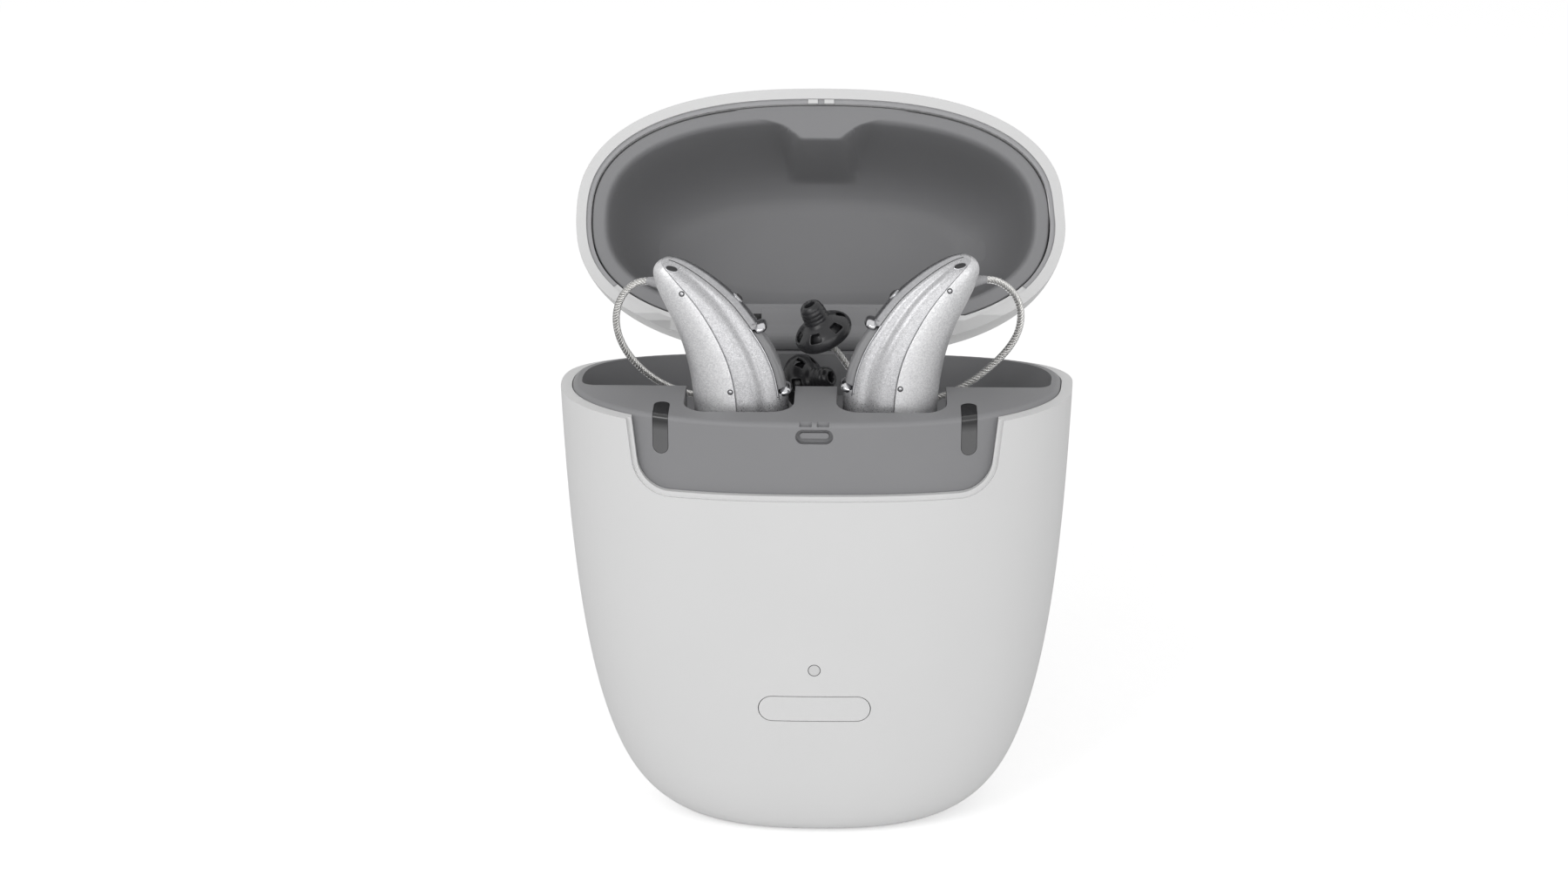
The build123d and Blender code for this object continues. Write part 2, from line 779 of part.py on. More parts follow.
def make_lid_liner():
    inset = lid_wall + liner_gap
    outer = lid_form(inset, lid_height - inset, rim_height - 4)
    outer &= block((-60, -60, 0), (60, liner_back, 200))
    bowl = lid_form(inset + liner_lip, lid_height - inset - liner_wall, rim_height - 5)
    bowl &= block((-60, -60, 0), (60, liner_back - liner_back_wall, 200))
    liner = outer - bowl
    liner += latch_boss() & outer
    liner -= crown(lid_gap + liner_recess)
    liner -= hinge_notch()
    root = liner_back - arm_root
    arm = extrude_yz([(root, hinge_z - arm_drop), (hinge_y - arm_root, hinge_z - arm_drop), (hinge_y, hinge_z),
                      (hinge_y, rim_height + arm_top_rise), (root, rim_height + arm_top_rise)],
                     -arm_half_width, arm_half_width)
    arm += rod_x(hinge_y, hinge_z, -arm_half_width, arm_half_width, knuckle_radius)
    liner += arm
    liner -= rod_x(hinge_y, hinge_z, -20, 20, pin_radius + running_gap)
    return open_lid(liner)


def latch_boss():
    """Raised pad behind the lip that backs the latch, flared into the lip and rounded at its inner end."""
    lip_edge = -body_half_depth + lid_wall + liner_gap + liner_lip
    half = [(boss_flare_half_width, lip_edge - liner_lip), (boss_flare_half_width, lip_edge - 0.2),
            (boss_half_width, lip_edge + 0.3), (boss_end_half_width, lip_edge + boss_reach)]
    outline = half + [(-x, y) for x, y in reversed(half)]
    face = make_face(Polyline(*outline, close=True))
    ends = [v for v in face.vertices() if v.Y > lip_edge + boss_reach - 0.1]
    face = fillet(ends, boss_end_round)
    necks = [v for v in face.vertices() if abs(v.Y - lip_edge - 0.3) < 0.01]
    face = fillet(necks, boss_neck_round)
    return extrude(Pos(0, 0, rim_height - 3) * face, boss_height)


def aid_y(rise):
    """Y of an aid's middle at a height over the rim: the aids lean back a little."""
    return aid_foot_y + aid_lean * (rise + aid_datum_rise)


def make_hinge_pin():
    half = arm_half_width + lug_gap + lug_width - 0.1
    return rod_x(hinge_y, hinge_z, -half, half, pin_radius)


def aid_form(side):
    """One hearing aid's crescent body, lofted along its stations."""
    sections = []
    for index, (x, rise, half_width, half_thickness) in enumerate(aid_stations):
        before = aid_stations[max(0, index - 1)]
        after = aid_stations[min(len(aid_stations) - 1, index + 1)]
        run = math.hypot(after[0] - before[0], after[1] - before[1])
        tangent = ((after[0] - before[0]) / run, (after[1] - before[1]) / run)
        plane = Plane(origin=(side * x, aid_y(rise), aid_datum + rise),
                      x_dir=(tangent[1], 0, -side * tangent[0]),
                      z_dir=(side * tangent[0], 0, tangent[1]))
        sections.append(plane * superellipse(half_width, half_thickness, aid_exponent))
    return loft(sections)


def aid_spine_region(side, shift):
    """Everything on the inner side of the aid's parting line."""
    seam = [(side * (x - shift), aid_datum + rise) for x, rise in aid_seam]
    upper = seam[0]
    line = Spline(*seam)
    far_x = side * -2.0
    rest = Polyline(seam[-1], (far_x, seam[-1][1]), (far_x, aid_datum + 30),
                    (upper[0] + side * 3.5, aid_datum + 30), (upper[0] + side * 1.4, upper[1] + 1.4), upper)
    face = make_face([line, rest])
    return Pos(0, 20, 0) * Rot(90, 0, 0) * extrude(face, 50)


def rocker_frame(side):
    """Middle of the rocker, its length and its lean from upright."""
    top = (side * rocker_top[0], aid_datum + rocker_top[1])
    low = (side * rocker_bottom[0], aid_datum + rocker_bottom[1])
    middle = ((top[0] + low[0]) / 2, (top[1] + low[1]) / 2)
    length = math.hypot(top[0] - low[0], top[1] - low[1])
    lean = math.degrees(math.atan2(top[0] - low[0], top[1] - low[1]))
    return middle, length, lean


def rocker_bar(side, grow):
    middle, length, lean = rocker_frame(side)
    bar = Box(rocker_thickness + 2 * grow, rocker_depth + 2 * grow, length + 2 * grow)
    return Pos(middle[0], aid_y(middle[1] - aid_datum), middle[1]) * Rot(0, lean, 0) * bar


def rocker_knobs(side, grow):
    middle, length, lean = rocker_frame(side)
    knobs = []
    for end in (-1, 1):
        knob = Pos(0, 0, end * length / 2) * Rot(90, 0, 0) * Cylinder(knob_radius + grow, knob_depth + 2 * grow)
        knobs.append(Pos(middle[0], aid_y(middle[1] - aid_datum), middle[1]) * Rot(0, lean, 0) * knob)
    return knobs


def microphone_form(side, grow):
    spot = pill_y(side * microphone[0], aid_datum + microphone[1], microphone_width + 2 * grow,
                  microphone_tall + 2 * grow,
                  aid_y(microphone[1]) - 6, aid_y(microphone[1]) - 1.0)
    return spot


def pin_forms(side, grow):
    rods = []
    for x, rise in aid_pins:
        middle = aid_y(rise)
        rods.append(rod_y(side * x, aid_datum + rise, middle - 6, middle + 6, aid_pin_radius + grow))
    return rods


def make_aid(side, name, wire_points, ear_direction):
    form = aid_form(side)
    region = aid_spine_region(side, 0.0)
    cover_region = aid_spine_region(side, aid_seam_gap)
    wire = wire_solid(wire_points)
    wire_hole = wire_tube(wire_points[:3], wire_radius + 0.01)
    room = rocker_bar(side, rocker_clearance)
    for knob in rocker_knobs(side, rocker_clearance):
        room += knob
    case = form - region - wire_hole - room
    cover = (form & cover_region) - room - wire_hole
    case -= microphone_form(side, running_gap)
    cover -= microphone_form(side, running_gap)
    for rod in pin_forms(side, 0.02):
        case -= rod
        cover -= rod
    bar = rocker_bar(side, 0.0)
    for knob in rocker_knobs(side, 0.02):
        bar -= knob
    pins = Compound(children=[(rod & form).solid() for rod in pin_forms(side, 0.0)])
    pieces = {
        name + "_aid_case": case,
        name + "_aid_spine_cover": cover,
        name + "_aid_rocker": bar,
        name + "_aid_rocker_knobs": Compound(children=rocker_knobs(side, 0.0)),
        name + "_aid_microphone_cover": microphone_form(side, 0.0) & form,
        name + "_aid_pins": pins,
        name + "_receiver_wire": wire,
    }
    end = Vector(*wire_points[-1]) + Vector(0, 0, rim_height)
    direction = Vector(*ear_direction).normalized()
    pieces[name + "_receiver"] = make_receiver(end, direction)
    pieces[name + "_dome"] = make_dome(end + direction * receiver_length, direction)
    return pieces


def wire_path(points):
    """Straight runs with the largest tangent arcs that they allow."""
    lifted = [Vector(x, y, z + rim_height) for x, y, z in points]
    radii = []
    for index in range(1, len(lifted) - 1):
        into = lifted[index] - lifted[index - 1]
        out = lifted[index + 1] - lifted[index]
        turn = math.radians(into.get_angle(out))
        radii.append(0.45 * min(into.length, out.length) / math.tan(turn / 2))
    return FilletPolyline(*lifted, radius=radii), radii


def wire_tube(points, radius):
    path, _ = wire_path(points)
    plane = Plane(origin=path @ 0, z_dir=path % 0)
    return sweep(plane * Circle(radius), path=path)


def wire_solid(points):
    path, radii = wire_path(points)
    tube = wire_tube(points, wire_radius)
    expected = math.pi * wire_radius ** 2 * path.length
    print("wire length", round(path.length, 2), "least arc", round(min(radii), 2),
          "volume ratio", round(tube.volume / expected, 4))
    return tube


def make_receiver(start, direction):
    """Speaker capsule at the wire's end, with a nozzle inside the dome."""
    profile = [(0, 0), (0.9, 0), (receiver_radius, 1.0), (receiver_radius, receiver_length - 0.8),
               (nozzle_radius, receiver_length), (nozzle_radius, receiver_length + nozzle_length),
               (0, receiver_length + nozzle_length)]
    face = make_face(Polyline(*[(x, 0, z) for x, z in profile], close=True))
    return Plane(origin=start, z_dir=direction) * revolve(face, Axis.Z)


def make_dome(start, direction):
    """Soft hat-shaped tip that seals in the ear canal: a wide open brim under a narrow cap on the nozzle."""
    skirt = 0.3
    tip = skirt + dome_length
    bore = nozzle_radius + 0.02
    outer = Spline((dome_radius, skirt), (dome_radius * 0.97, skirt + 0.8), (dome_radius * 0.66, skirt + 1.7),
                   (dome_cap_radius + 0.15, skirt + 2.6), (dome_cap_radius, skirt + 3.4), (bore + 0.25, tip),
                   tangents=[(0, 1), (-1, 0)])
    inner = Spline((bore, skirt + 1.6), (dome_radius * 0.62, skirt + 1.15),
                   (dome_radius * 0.93 - dome_wall, skirt + 0.5), (dome_radius - dome_wall, skirt),
                   tangents=[(1, 0), (0, -1)])
    stem = Polyline((bore + 0.25, tip), (bore, tip), (bore, skirt + 1.6))
    brim = Line((dome_radius - dome_wall, skirt), (dome_radius, skirt))
    face = make_face([outer, stem, inner, brim])
    solid = revolve(Plane.XZ * face, Axis.Z)
    return Plane(origin=start, z_dir=direction) * solid


def build_all():
    form = outer_form()
    full = tray_block()
    parts = {
        "outer_shell": make_outer_shell(form),
        "foot_pad": make_foot_pad(),
        "charging_tray": make_charging_tray(full),
        "left_status_light": make_status_light(-1, full),
        "right_status_light": make_status_light(1, full),
        "power_button": make_power_button(form),
        "tactile_switch": make_tactile_switch(),
        "charge_indicator": make_charge_indicator(form),
        "indicator_led": make_indicator_led(),
        "main_board": make_main_board(),
        "inner_chassis": make_inner_chassis(),
        "battery": make_battery(),
        "left_charging_coil": make_coil(-1),
        "right_charging_coil": make_coil(1),
        "ferrite_discs": make_ferrites(),
        "port_board": make_port_board(),
        "usb_port": make_usb_port(),
        "case_screws": make_case_screws(),
        "board_screws": make_board_screws(),
        "port_screws": make_port_screws(),
        "hinge_pin": make_hinge_pin(),
        "lid_shell": make_lid_shell(),
        "lid_liner": make_lid_liner(),
    }
    parts.update(make_aid(-1, "left", left_wire, left_ear_direction))
    parts.update(make_aid(1, "right", right_wire, right_ear_direction))
    return parts


os.makedirs("parts", exist_ok=True)
for node, solid in build_all().items():
    export_step(solid, os.path.join("parts", node + ".step"))
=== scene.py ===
import math

import bmesh
import bpy
import numpy as np
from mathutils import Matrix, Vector


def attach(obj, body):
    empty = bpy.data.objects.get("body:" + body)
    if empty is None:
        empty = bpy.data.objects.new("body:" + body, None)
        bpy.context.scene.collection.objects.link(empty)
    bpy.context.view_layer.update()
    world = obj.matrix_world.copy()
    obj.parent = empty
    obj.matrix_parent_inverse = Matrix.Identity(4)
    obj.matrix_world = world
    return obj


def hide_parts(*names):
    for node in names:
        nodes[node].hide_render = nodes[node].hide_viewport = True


# Charging case for a pair of hearing aids, open, with both aids seated.
# Metres, in the CAD model's frame: X to the viewer's right, Y to the back, Z up.

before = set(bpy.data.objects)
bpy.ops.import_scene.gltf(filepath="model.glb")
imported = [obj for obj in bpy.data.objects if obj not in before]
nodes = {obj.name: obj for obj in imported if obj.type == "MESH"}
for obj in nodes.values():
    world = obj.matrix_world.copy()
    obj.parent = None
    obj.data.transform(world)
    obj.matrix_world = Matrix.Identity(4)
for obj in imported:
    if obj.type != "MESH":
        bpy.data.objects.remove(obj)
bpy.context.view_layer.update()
MM = 0.001

# Sizes shared with the CAD model, in millimetres
rim_height = 65.0
body_half_width = 36.5
body_half_depth = 19.5
plan_exponent = 2.45
indicator_height = 27.9
indicator_radius = 0.85
pocket_centre_x = 10.65
coil_centre_y = -7.5

# The photograph's frame and the camera that took it
photo_width = 1800
photo_height = 1013
focal_pixels = 3163.0
principal_point = (937.66, 589.5)
camera_target = Vector((0.0, 0.0, 0.045))
camera_distance = 0.4
camera_pitch = math.radians(19.35)
camera_yaw = math.radians(1.15)


def add_camera():
    """The photograph's view: a point on the case, looked down on at a small angle from in front."""
    data = bpy.data.cameras.new("photo_camera")
    data.sensor_width = 36.0
    data.lens = focal_pixels / photo_width * data.sensor_width
    data.shift_x = (photo_width / 2 - principal_point[0]) / photo_width
    data.shift_y = (principal_point[1] - photo_height / 2) / photo_width
    data.clip_start = 0.01
    camera = bpy.data.objects.new("photo_camera", data)
    flat = math.cos(camera_pitch)
    forward = Vector((-math.sin(camera_yaw) * flat, math.cos(camera_yaw) * flat, -math.sin(camera_pitch)))
    camera.location = camera_target - camera_distance * forward
    camera.rotation_euler = (math.pi / 2 - camera_pitch, 0.0, camera_yaw)
    bpy.context.scene.collection.objects.link(camera)
    bpy.context.scene.camera = camera


add_camera()


# Materials

def linear(hex_colour):
    """A colour written as sRGB hex, as linear light with full alpha."""
    parts = [int(hex_colour[i:i + 2], 16) / 255 for i in (1, 3, 5)]
    light = [p / 12.92 if p <= 0.04045 else ((p + 0.055) / 1.055) ** 2.4 for p in parts]
    return (*light, 1.0)


def per_metre(size_mm):
    """A pattern's scale, from the real size in millimetres of one of its features."""
    return 1 / (size_mm * MM)


def add_node(tree, kind, inputs=None, **settings):
    """Add one shader node: its settings, then each socket's value, or a link where the value is a socket."""
    node = tree.nodes.new(kind)
    for name, value in settings.items():
        setattr(node, name, value)
    for name, value in (inputs or {}).items():
        if isinstance(value, bpy.types.NodeSocket):
            tree.links.new(value, node.inputs[name])
        else:
            node.inputs[name].default_value = value
    return node


def new_material(name):
    """An empty node material, its tree and the Object coordinates that its patterns read."""
    material = bpy.data.materials.new(name)
    material.use_nodes = True
    tree = material.node_tree
    tree.nodes.clear()
    place = add_node(tree, "ShaderNodeTexCoord").outputs["Object"]
    return material, tree, place


def moulding(name, colour, patch_colour, roughness, grain_mm, depth_mm):
    """Injection-moulded plastic: spark-eroded grain from the tool in roughness and bump, and a faint
    cloudiness some 14 mm across where the melt cooled at different speeds."""
    material, tree, place = new_material(name)
    cloud = add_node(tree, "ShaderNodeTexNoise", {"Vector": place, "Scale": per_metre(14.0)})
    tint = add_node(tree, "ShaderNodeMix", {
        0: cloud.outputs["Fac"], 6: linear(colour), 7: linear(patch_colour)}, data_type="RGBA")
    grain = add_node(tree, "ShaderNodeTexNoise", {
        "Vector": place, "Scale": per_metre(grain_mm), "Detail": 3.0, "Roughness": 0.6})
    satin = add_node(tree, "ShaderNodeMapRange", {
        "Value": grain.outputs["Fac"], "From Min": 0.3, "From Max": 0.7,
        "To Min": roughness - 0.04, "To Max": roughness + 0.04})
    relief = add_node(tree, "ShaderNodeBump", {
        "Height": grain.outputs["Fac"], "Strength": 1.0, "Distance": depth_mm * MM})
    plastic = add_node(tree, "ShaderNodeBsdfPrincipled", {
        "Base Color": tint.outputs[2], "Roughness": satin.outputs["Result"], "Normal": relief.outputs["Normal"],
        "IOR": 1.52})
    add_node(tree, "ShaderNodeOutputMaterial", {"Surface": plastic.outputs[0]})
    return material


def metal(name, colour, dull_colour, roughness, grain_mm, stretch=(1.0, 1.0, 1.0)):
    """Bare or plated metal: grain drawn out along its working direction, in colour and roughness, with a
    bump 0.002 mm deep. stretch under 1 makes the grain longer along that axis."""
    material, tree, place = new_material(name)
    lay = add_node(tree, "ShaderNodeMapping", {"Vector": place, "Scale": stretch})
    grain = add_node(tree, "ShaderNodeTexNoise", {
        "Vector": lay.outputs["Vector"], "Scale": per_metre(grain_mm), "Detail": 3.0})
    tint = add_node(tree, "ShaderNodeMix", {
        0: grain.outputs["Fac"], 6: linear(colour), 7: linear(dull_colour)}, data_type="RGBA")
    polish = add_node(tree, "ShaderNodeMapRange", {
        "Value": grain.outputs["Fac"], "From Min": 0.3, "From Max": 0.7,
        "To Min": roughness - 0.03, "To Max": roughness + 0.05})
    relief = add_node(tree, "ShaderNodeBump", {
        "Height": grain.outputs["Fac"], "Strength": 1.0, "Distance": 0.002 * MM})
    surface = add_node(tree, "ShaderNodeBsdfPrincipled", {
        "Base Color": tint.outputs[2], "Metallic": 1.0, "Roughness": polish.outputs["Result"],
        "Normal": relief.outputs["Normal"]})
    add_node(tree, "ShaderNodeOutputMaterial", {"Surface": surface.outputs[0]})
    return material


def flake_lacquer(name, light, dark, flake_mm, roughness):
    """Silver metallic lacquer: sprayed, so that its aluminium flakes lie at slightly different tilts and
    sparkle under a thin clear coat. Real flakes are 0.03 mm; they are drawn four times as wide to show."""
    material, tree, place = new_material(name)
    cells = add_node(tree, "ShaderNodeTexVoronoi", {"Vector": place, "Scale": per_metre(flake_mm)})
    flake = add_node(tree, "ShaderNodeSeparateColor", {"Color": cells.outputs["Color"]})
    tint = add_node(tree, "ShaderNodeMix", {
        0: flake.outputs["Red"], 6: linear(light), 7: linear(dark)}, data_type="RGBA")
    sparkle = add_node(tree, "ShaderNodeMapRange", {
        "Value": flake.outputs["Green"], "From Min": 0.0, "From Max": 1.0,
        "To Min": roughness - 0.08, "To Max": roughness + 0.08})
    tilt = add_node(tree, "ShaderNodeBump", {
        "Height": flake.outputs["Blue"], "Strength": 1.0, "Distance": 0.012 * MM})
    paint = add_node(tree, "ShaderNodeBsdfPrincipled", {
        "Base Color": tint.outputs[2], "Metallic": 0.7, "Roughness": sparkle.outputs["Result"],
        "Normal": tilt.outputs["Normal"], "Coat Weight": 0.35, "Coat Roughness": 0.18})
    add_node(tree, "ShaderNodeOutputMaterial", {"Surface": paint.outputs[0]})
    return material


def smoked_guide():
    """Smoked polycarbonate light guide: glass-smooth and nearly black where it lies on the deck, with the
    pale diffuser behind it showing through the upright part. The change is at the guide's bend, from 2.6 to
    1.4 mm under the rim."""
    material, tree, place = new_material("smoked_pc_light_guide")
    height = add_node(tree, "ShaderNodeSeparateXYZ", {"Vector": place})
    bend = add_node(tree, "ShaderNodeMapRange", {
        "Value": height.outputs["Z"], "From Min": (rim_height - 2.6) * MM, "From Max": (rim_height - 1.4) * MM,
        "To Min": 0.0, "To Max": 1.0})
    tint = add_node(tree, "ShaderNodeMix", {
        0: bend.outputs["Result"], 6: linear("#5F5F60"), 7: linear("#29292A")}, data_type="RGBA")
    haze = add_node(tree, "ShaderNodeTexNoise", {"Vector": place, "Scale": per_metre(0.8)})
    gloss = add_node(tree, "ShaderNodeMapRange", {
        "Value": haze.outputs["Fac"], "From Min": 0.3, "From Max": 0.7, "To Min": 0.1, "To Max": 0.16})
    plastic = add_node(tree, "ShaderNodeBsdfPrincipled", {
        "Base Color": tint.outputs[2], "Roughness": gloss.outputs["Result"], "IOR": 1.58})
    add_node(tree, "ShaderNodeOutputMaterial", {"Surface": plastic.outputs[0]})
    return material


def clear_plastic(name, colour, roughness, weight, ripple_mm, depth_mm, ior):
    """Clear or smoked plastic: light goes through it by weight, and its skin is slightly rippled."""
    material, tree, place = new_material(name)
    ripple = add_node(tree, "ShaderNodeTexNoise", {
        "Vector": place, "Scale": per_metre(ripple_mm), "Detail": 1.0})
    relief = add_node(tree, "ShaderNodeBump", {
        "Height": ripple.outputs["Fac"], "Strength": 1.0, "Distance": depth_mm * MM})
    plastic = add_node(tree, "ShaderNodeBsdfPrincipled", {
        "Base Color": linear(colour), "Roughness": roughness, "IOR": ior, "Transmission Weight": weight,
        "Normal": relief.outputs["Normal"]})
    add_node(tree, "ShaderNodeOutputMaterial", {"Surface": plastic.outputs[0]})
    return material


def solder_mask():
    """Solder mask on glass epoxy: satin green lacquer, paler along the copper tracks under it, which are
    drawn as the joints of a brick pattern 4 mm long and sunk by 0.03 mm."""
    material, tree, place = new_material("green_solder_mask_board")
    tracks = add_node(tree, "ShaderNodeTexBrick", {
        "Vector": place, "Scale": per_metre(4.0), "Mortar Size": 0.05, "Mortar Smooth": 0.2,
        "Color1": linear("#1F5A3A"), "Color2": linear("#235F3E"), "Mortar": linear("#3E7D58")})
    relief = add_node(tree, "ShaderNodeBump", {
        "Height": tracks.outputs["Fac"], "Strength": 1.0, "Distance": -0.03 * MM})
    lacquered = add_node(tree, "ShaderNodeBsdfPrincipled", {
        "Base Color": tracks.outputs["Color"], "Roughness": 0.32, "IOR": 1.5, "Normal": relief.outputs["Normal"]})
    add_node(tree, "ShaderNodeOutputMaterial", {"Surface": lacquered.outputs[0]})
    return material


def copper_winding(name, side):
    """Enamelled copper wire: wound flat, so that its turns show as bright rings 0.35 mm apart round the
    pocket's middle. A ring of the wave texture is 0.314 / scale wide."""
    material, tree, place = new_material(name)
    centred = add_node(tree, "ShaderNodeMapping", {
        "Vector": place, "Location": (-side * pocket_centre_x * MM, -coil_centre_y * MM, 0.0)})
    turns = add_node(tree, "ShaderNodeTexWave", {
        "Vector": centred.outputs["Vector"], "Scale": 0.314 * per_metre(2 * 0.35)},
        wave_type="RINGS", rings_direction="Z")
    tint = add_node(tree, "ShaderNodeMix", {
        0: turns.outputs["Fac"], 6: linear("#6E3418"), 7: linear("#C8794A")}, data_type="RGBA")
    relief = add_node(tree, "ShaderNodeBump", {
        "Height": turns.outputs["Fac"], "Strength": 1.0, "Distance": 0.1 * MM})
    enamel = add_node(tree, "ShaderNodeBsdfPrincipled", {
        "Base Color": tint.outputs[2], "Metallic": 0.9, "Roughness": 0.3, "Normal": relief.outputs["Normal"]})
    add_node(tree, "ShaderNodeOutputMaterial", {"Surface": enamel.outputs[0]})
    return material


# ABS from a finely sparked tool: an even satin skin that shows light as soft wide patches
shell = moulding("satin_abs_shell", "#DCDCDC", "#DFDFDF", 0.4, 0.25, 0.004)
# PC-ABS blend from a coarser tool: a flatter mid grey than the shell
tray = moulding("matt_pc_abs_tray", "#868688", "#8A8A8C", 0.5, 0.22, 0.006)
# ABS, a step duller than the tray, so that the bowl's turns show only as shade
liner = moulding("matt_abs_liner", "#8A8A8C", "#868688", 0.55, 0.22, 0.006)
# Nylon filled with glass fibre: fibre ends in the skin leave it rough and dark
chassis = moulding("glass_filled_nylon_chassis", "#303032", "#38383A", 0.6, 0.3, 0.02)
# Unfilled nylon: blacker and smoother than the chassis
switch_nylon = moulding("black_nylon_switch", "#1E1E1F", "#242425", 0.45, 0.2, 0.004)
# Thermoplastic elastomer, moulded: dull, with hardly any highlight
foot_rubber = moulding("moulded_tpe_foot", "#444446", "#4A4A4C", 0.75, 0.3, 0.02)
# A grey band on the lid's rebate floor: a soft pale grey line between the shell's white and the liner's dark
rebate_grey = moulding("grey_rebate_band", "#A3A3A5", "#A8A8AA", 0.55, 0.25, 0.004)
# Ferrite powder, pressed and fired: dark, chalky and finely pitted
sintered = moulding("sintered_ferrite", "#2A2A2C", "#343436", 0.7, 0.12, 0.01)
# ABS from a polished tool: a dark capsule with one sharp highlight
capsule = moulding("gloss_abs_capsule", "#2C2C2E", "#333335", 0.22, 0.3, 0.001)
# ABS plug sleeve: mid grey and fairly glossy, so that its ribs catch light
sleeve_grey = moulding("moulded_grey_sleeve", "#9A9A9C", "#A2A2A4", 0.35, 0.3, 0.002)
# Polyester cloth over the microphone: threads 0.12 mm apart, seen as a deep dull grain
port_mesh = moulding("woven_microphone_cover", "#1C1C1D", "#28282A", 0.6, 0.12, 0.03)
# Polycarbonate frosted inside: pale and milky, glossier than the shell round it
lens = moulding("frosted_pc_lens", "#D3D3D3", "#D6D6D6", 0.3, 0.25, 0.002)
# Joint between two mouldings: a dark line that returns little light
groove = moulding("dark_parting_line", "#3C3C3E", "#444446", 0.6, 0.3, 0.002)
# Film shrunk round the cell's aluminium can: glossy, with wide shallow wrinkles
wrap = moulding("shrink_film_on_aluminium_can", "#4C5A74", "#55637D", 0.28, 1.5, 0.02)
# Steel ground along the pin: fine long lines that draw the highlight out
pin_steel = metal("ground_steel_pin", "#C9C9CB", "#A9A9AC", 0.28, 0.6, (0.1, 1.0, 1.0))
# Zinc plating: a bright grey with small duller patches
screw_steel = metal("zinc_plated_screw", "#C4C5C8", "#A4A5A9", 0.34, 0.4)
# Steel sheet drawn into a can: faint lines along the way it was drawn
can_steel = metal("drawn_steel_port_can", "#CFCFD1", "#B0B0B3", 0.26, 0.5, (1.0, 0.15, 1.0))
# Chrome plating: nearly a mirror
plated_knob = metal("chrome_plated_knob", "#D9D9DB", "#BFBFC2", 0.12, 0.7)
# Nickel plating over a blasted surface: bright, with its highlight spread
bright_spine = metal("satin_plated_spine", "#BDBDBF", "#9D9DA0", 0.24, 0.5)
# Tinned copper: white metal, dulled a little by twisting
strand_metal = metal("tinned_copper_strand", "#F4F3F1", "#D2D1CE", 0.34, 0.5)
# The aid's front shell: pale silver with visible sparkle
lacquer = flake_lacquer("silver_flake_lacquer", "#E0E0E1", "#C8C8CA", 0.15, 0.44)
# The aid's spine cover: finer flakes and a tighter highlight. Its silver is darker than the case's, which is
# painted shade standing in for the dark band along the cover
shaded_cover_lacquer = flake_lacquer("fine_flake_lacquer_painted_shade", "#BEBEC0", "#A6A6A8", 0.13, 0.34)
# The status windows, the boards and the two coils, as their functions say
guide = smoked_guide()
mask = solder_mask()
windings = {side: copper_winding(name + "_copper_winding", side)
            for name, side in (("left", -1), ("right", 1))}
# Polyurethane, extruded: clear as glass, so that the strands show through
tubing = clear_plastic("clear_polyurethane_tube", "#FFFFFF", 0.05, 0.9, 2.5, 0.004, 1.4)
# Polycarbonate with smoke pigment: a mid grey with some depth
smoked_bar = clear_plastic("smoked_pc_rocker", "#A6A6A8", 0.14, 0.2, 1.5, 0.008, 1.5)
# Silicone rubber with smoke pigment: dark, soft in gloss, paler where it is thin
silicone = clear_plastic("smoked_silicone", "#38383A", 0.26, 0.25, 0.9, 0.02, 1.41)


def dress(material, *names):
    """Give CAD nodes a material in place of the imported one."""
    for name in names:
        mesh = nodes[name].data
        mesh.materials.clear()
        mesh.materials.append(material)


def both(name):
    """The names of a pair of nodes, from what follows left_ and right_."""
    return "left_" + name, "right_" + name


dress(shell, "outer_shell", "lid_shell", "power_button")
dress(tray, "charging_tray")
dress(liner, "lid_liner")
dress(guide, *both("status_light"))
dress(lens, "charge_indicator", "indicator_led")
dress(foot_rubber, "foot_pad")
dress(chassis, "inner_chassis")
dress(switch_nylon, "tactile_switch")
dress(mask, "main_board", "port_board")
dress(wrap, "battery")
dress(sintered, "ferrite_discs")
dress(windings[-1], "left_charging_coil")
dress(windings[1], "right_charging_coil")
dress(can_steel, "usb_port")
dress(screw_steel, "case_screws", "board_screws", "port_screws")
dress(pin_steel, "hinge_pin")
dress(lacquer, *both("aid_case"), *both("aid_pins"))
dress(shaded_cover_lacquer, *both("aid_spine_cover"))
dress(port_mesh, *both("aid_microphone_cover"), *both("aid_rocker"))
dress(plated_knob, *both("aid_rocker_knobs"))
dress(tubing, *both("receiver_wire"))
dress(silicone, *both("dome"))
dress(capsule, *both("receiver"))


# Surfaces

def grid_piece(name, grid, material, body, drop=None):
    """A mesh of quads over a grid of points in millimetres, each row a closed ring, placed on a body.
    drop is a true-or-false table of the quads to leave out."""
    rows, columns = grid.shape[:2]
    mesh = bpy.data.meshes.new(name)
    row = np.arange(rows - 1)[:, None]
    column = np.arange(columns)[None, :]
    after = (column + 1) % columns
    quads = np.stack([row * columns + column, row * columns + after,
                      (row + 1) * columns + after, (row + 1) * columns + column], axis=-1)
    quads = quads.reshape(-1, 4) if drop is None else quads[~drop]
    mesh.vertices.add(rows * columns)
    mesh.vertices.foreach_set("co", (grid * MM).reshape(-1))
    mesh.loops.add(quads.size)
    mesh.loops.foreach_set("vertex_index", quads.reshape(-1).astype(np.int32))
    mesh.polygons.add(len(quads))
    mesh.polygons.foreach_set("loop_start", np.arange(0, quads.size, 4, dtype=np.int32))
    mesh.polygons.foreach_set("use_smooth", np.ones(len(quads), dtype=bool))
    mesh.update(calc_edges=True)
    mesh.validate()
    mesh.materials.append(material)
    piece = bpy.data.objects.new(name, mesh)
    bpy.context.scene.collection.objects.link(piece)
    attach(piece, body)
    return piece


